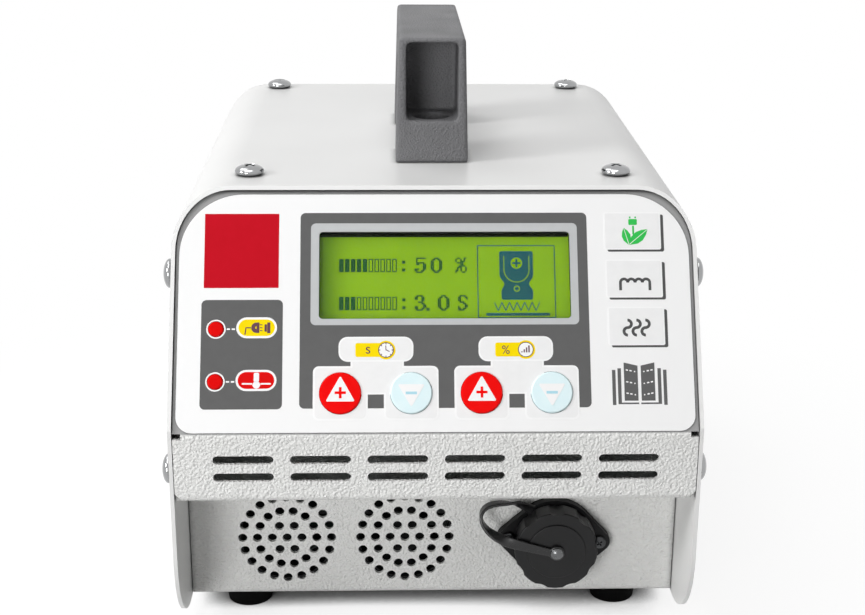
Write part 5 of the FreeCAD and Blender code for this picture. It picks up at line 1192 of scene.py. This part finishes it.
def area_lamp(name, place, size, power, shine=True):
    """Square soft lamp that looks at the object; without shine no surface mirrors it."""
    light = bpy.data.lights.new(name, "AREA")
    light.size = size
    light.energy = power
    lamp = linked(name, light)
    lamp.location = place
    lamp.visible_glossy = shine
    lamp.rotation_euler = (Vector(AIM) - Vector(place)).to_track_quat("-Z", "Y").to_euler()


def seen_directly(tree):
    """One for rays from the camera, from a reflection or through glass, else nothing."""
    path = add(tree, "LightPath")
    seen = path.outputs["Is Camera Ray"]
    for kind in ("Is Glossy Ray", "Is Transmission Ray"):
        seen = add(tree, "Math", {0: seen, 1: path.outputs[kind]}, operation="MAXIMUM").outputs[0]
    return seen


def paper_floor(stage):
    """White paper that keeps a soft shadow close to the object and is pure white farther out."""
    material, tree = new_material("paper_white")
    place = add(tree, "TexCoord").outputs["Object"]
    cloud = add(tree, "TexNoise", {"Vector": place, "Scale": 3.0}).outputs["Fac"]
    seen = seen_directly(tree)
    shade = drift(tree, seen, stage.floor_shade, drift(tree, cloud, "#7E7E7E", "#7A7A7A"))
    paper = add(tree, "BsdfDiffuse", {"Color": shade})
    fold = add(tree, "AmbientOcclusion", {"Distance": FLOOR_FEEL}, samples=16).outputs["AO"]
    free = add(tree, "MapRange", {"Value": fold, "From Min": 0.06, "From Max": 0.36,
                                  "To Max": stage.floor_lift}, interpolation_type="SMOOTHSTEP")
    lift = add(tree, "Math", {0: seen, 1: free.outputs[0]}, operation="MULTIPLY")
    glow = add(tree, "Emission", {"Strength": lift.outputs[0]})
    near = add(tree, "AddShader", {0: paper.outputs[0], 1: glow.outputs[0]})
    reach = add(tree, "VectorMath", {0: place}, operation="LENGTH").outputs["Value"]
    far = add(tree, "MapRange", {"Value": reach, "From Min": FLOOR_FADE[0], "From Max": FLOOR_FADE[1]},
              interpolation_type="SMOOTHSTEP")
    white = add(tree, "Emission", {"Strength": seen})
    far_seen = add(tree, "Math", {0: far.outputs[0], 1: seen}, operation="MULTIPLY")
    both = add(tree, "MixShader", {0: far_seen.outputs[0], 1: near.outputs[0], 2: white.outputs[0]})
    add(tree, "OutputMaterial", {"Surface": both.outputs[0]})
    return material


def white_world(stage):
    """World that is white to look at and gives a little even light."""
    world = bpy.data.worlds.new("white_studio")
    world.use_nodes = True
    tree = world.node_tree
    tree.nodes.clear()
    power = add(tree, "MapRange", {"Value": seen_directly(tree), "To Min": stage.world_light, "To Max": 1.0})
    sky = add(tree, "Background", {"Color": linear("#FFFFFF"), "Strength": power.outputs[0]})
    add(tree, "OutputWorld", {"Surface": sky.outputs[0]})
    return world


class DENT_OT_set_stage(bpy.types.Operator):
    """Set up the white floor, the soft lamps and the camera of the photo"""
    bl_idname = "dent.set_stage"
    bl_label = "Set the stage"

    def execute(self, context):
        stage = context.scene.dent_stage
        shape = bmesh.new()
        bmesh.ops.create_grid(shape, x_segments=8, y_segments=8, size=3.0)
        mesh = as_mesh("floor", shape)
        mesh.materials.append(paper_floor(stage))
        linked("floor", mesh)
        context.scene.world = white_world(stage)

        area_lamp("key_lamp", (-1.35, -0.6, 0.85), 0.42, stage.key_power)
        area_lamp("top_lamp", (-0.2, -0.4, 1.7), 1.0, stage.top_power)
        area_lamp("hair_lamp", (-0.7, 0.5, 1.5), 0.7, stage.hair_power)
        area_lamp("front_lamp", (-0.68, -1.65, 0.37), 0.6, stage.front_power)
        area_lamp("rear_lamp", (0.6, 1.75, 0.5), 0.8, stage.rear_power, shine=False)

        yaw, pitch, roll = stage.camera_yaw, stage.camera_pitch, stage.camera_roll
        ahead = Vector((math.sin(yaw) * math.cos(pitch), math.cos(yaw) * math.cos(pitch), -math.sin(pitch)))
        camera = bpy.data.cameras.new("photo_camera")
        camera.sensor_fit = "HORIZONTAL"
        camera.sensor_width = 36
        camera.lens = stage.lens
        camera.clip_start = 0.01
        holder = linked("photo_camera", camera)
        level = ahead.to_track_quat("-Z", "Y").to_matrix().to_4x4()
        place = Matrix.Translation(Vector(stage.camera_place))
        holder.matrix_world = place @ level @ Matrix.Rotation(roll, 4, "Z")
        context.scene.camera = holder
        context.scene.view_settings.view_transform = "Standard"
        return {"FINISHED"}


class DENT_PT_panel(bpy.types.Panel):
    """Steps of the dressed dent remover"""
    bl_idname = "DENT_PT_panel"
    bl_label = "Dent Remover"
    bl_space_type = "VIEW_3D"
    bl_region_type = "UI"
    bl_category = "Dent Remover"

    def draw(self, context):
        column = self.layout.column()
        for step in STEPS:
            column.operator(step.bl_idname)
        for settings in (context.scene.dent_stage, context.scene.dent_colours, context.scene.dent_print):
            for name in settings.__annotations__:
                column.prop(settings, name)


SETTINGS = {"dent_stage": DentStageSettings, "dent_colours": DentColourSettings,
            "dent_print": DentPrintSettings}
STEPS = (DENT_OT_finish_nodes, DENT_OT_print_label, DENT_OT_draw_display, DENT_OT_mark_keys,
         DENT_OT_fit_screws, DENT_OT_mould_handle, DENT_OT_mould_strap, DENT_OT_mark_rocker,
         DENT_OT_set_stage)
CLASSES = tuple(SETTINGS.values()) + STEPS + (DENT_PT_panel,)


def register():
    """Register the settings, the operators and the panel."""
    for made in CLASSES:
        bpy.utils.register_class(made)
    for name, made in SETTINGS.items():
        setattr(bpy.types.Scene, name, PointerProperty(type=made))


def unregister():
    """Take all of it out again."""
    for name in SETTINGS:
        delattr(bpy.types.Scene, name)
    for made in reversed(CLASSES):
        bpy.utils.unregister_class(made)


def main():
    """Dress the part step by step."""
    register()
    bpy.ops.dent.finish_nodes()
    bpy.ops.dent.print_label()
    bpy.ops.dent.draw_display()
    bpy.ops.dent.mark_keys()
    bpy.ops.dent.fit_screws()
    bpy.ops.dent.mould_handle()
    bpy.ops.dent.mould_strap()
    bpy.ops.dent.mark_rocker()
    bpy.ops.dent.set_stage()


if __name__ == "__main__":
    main()
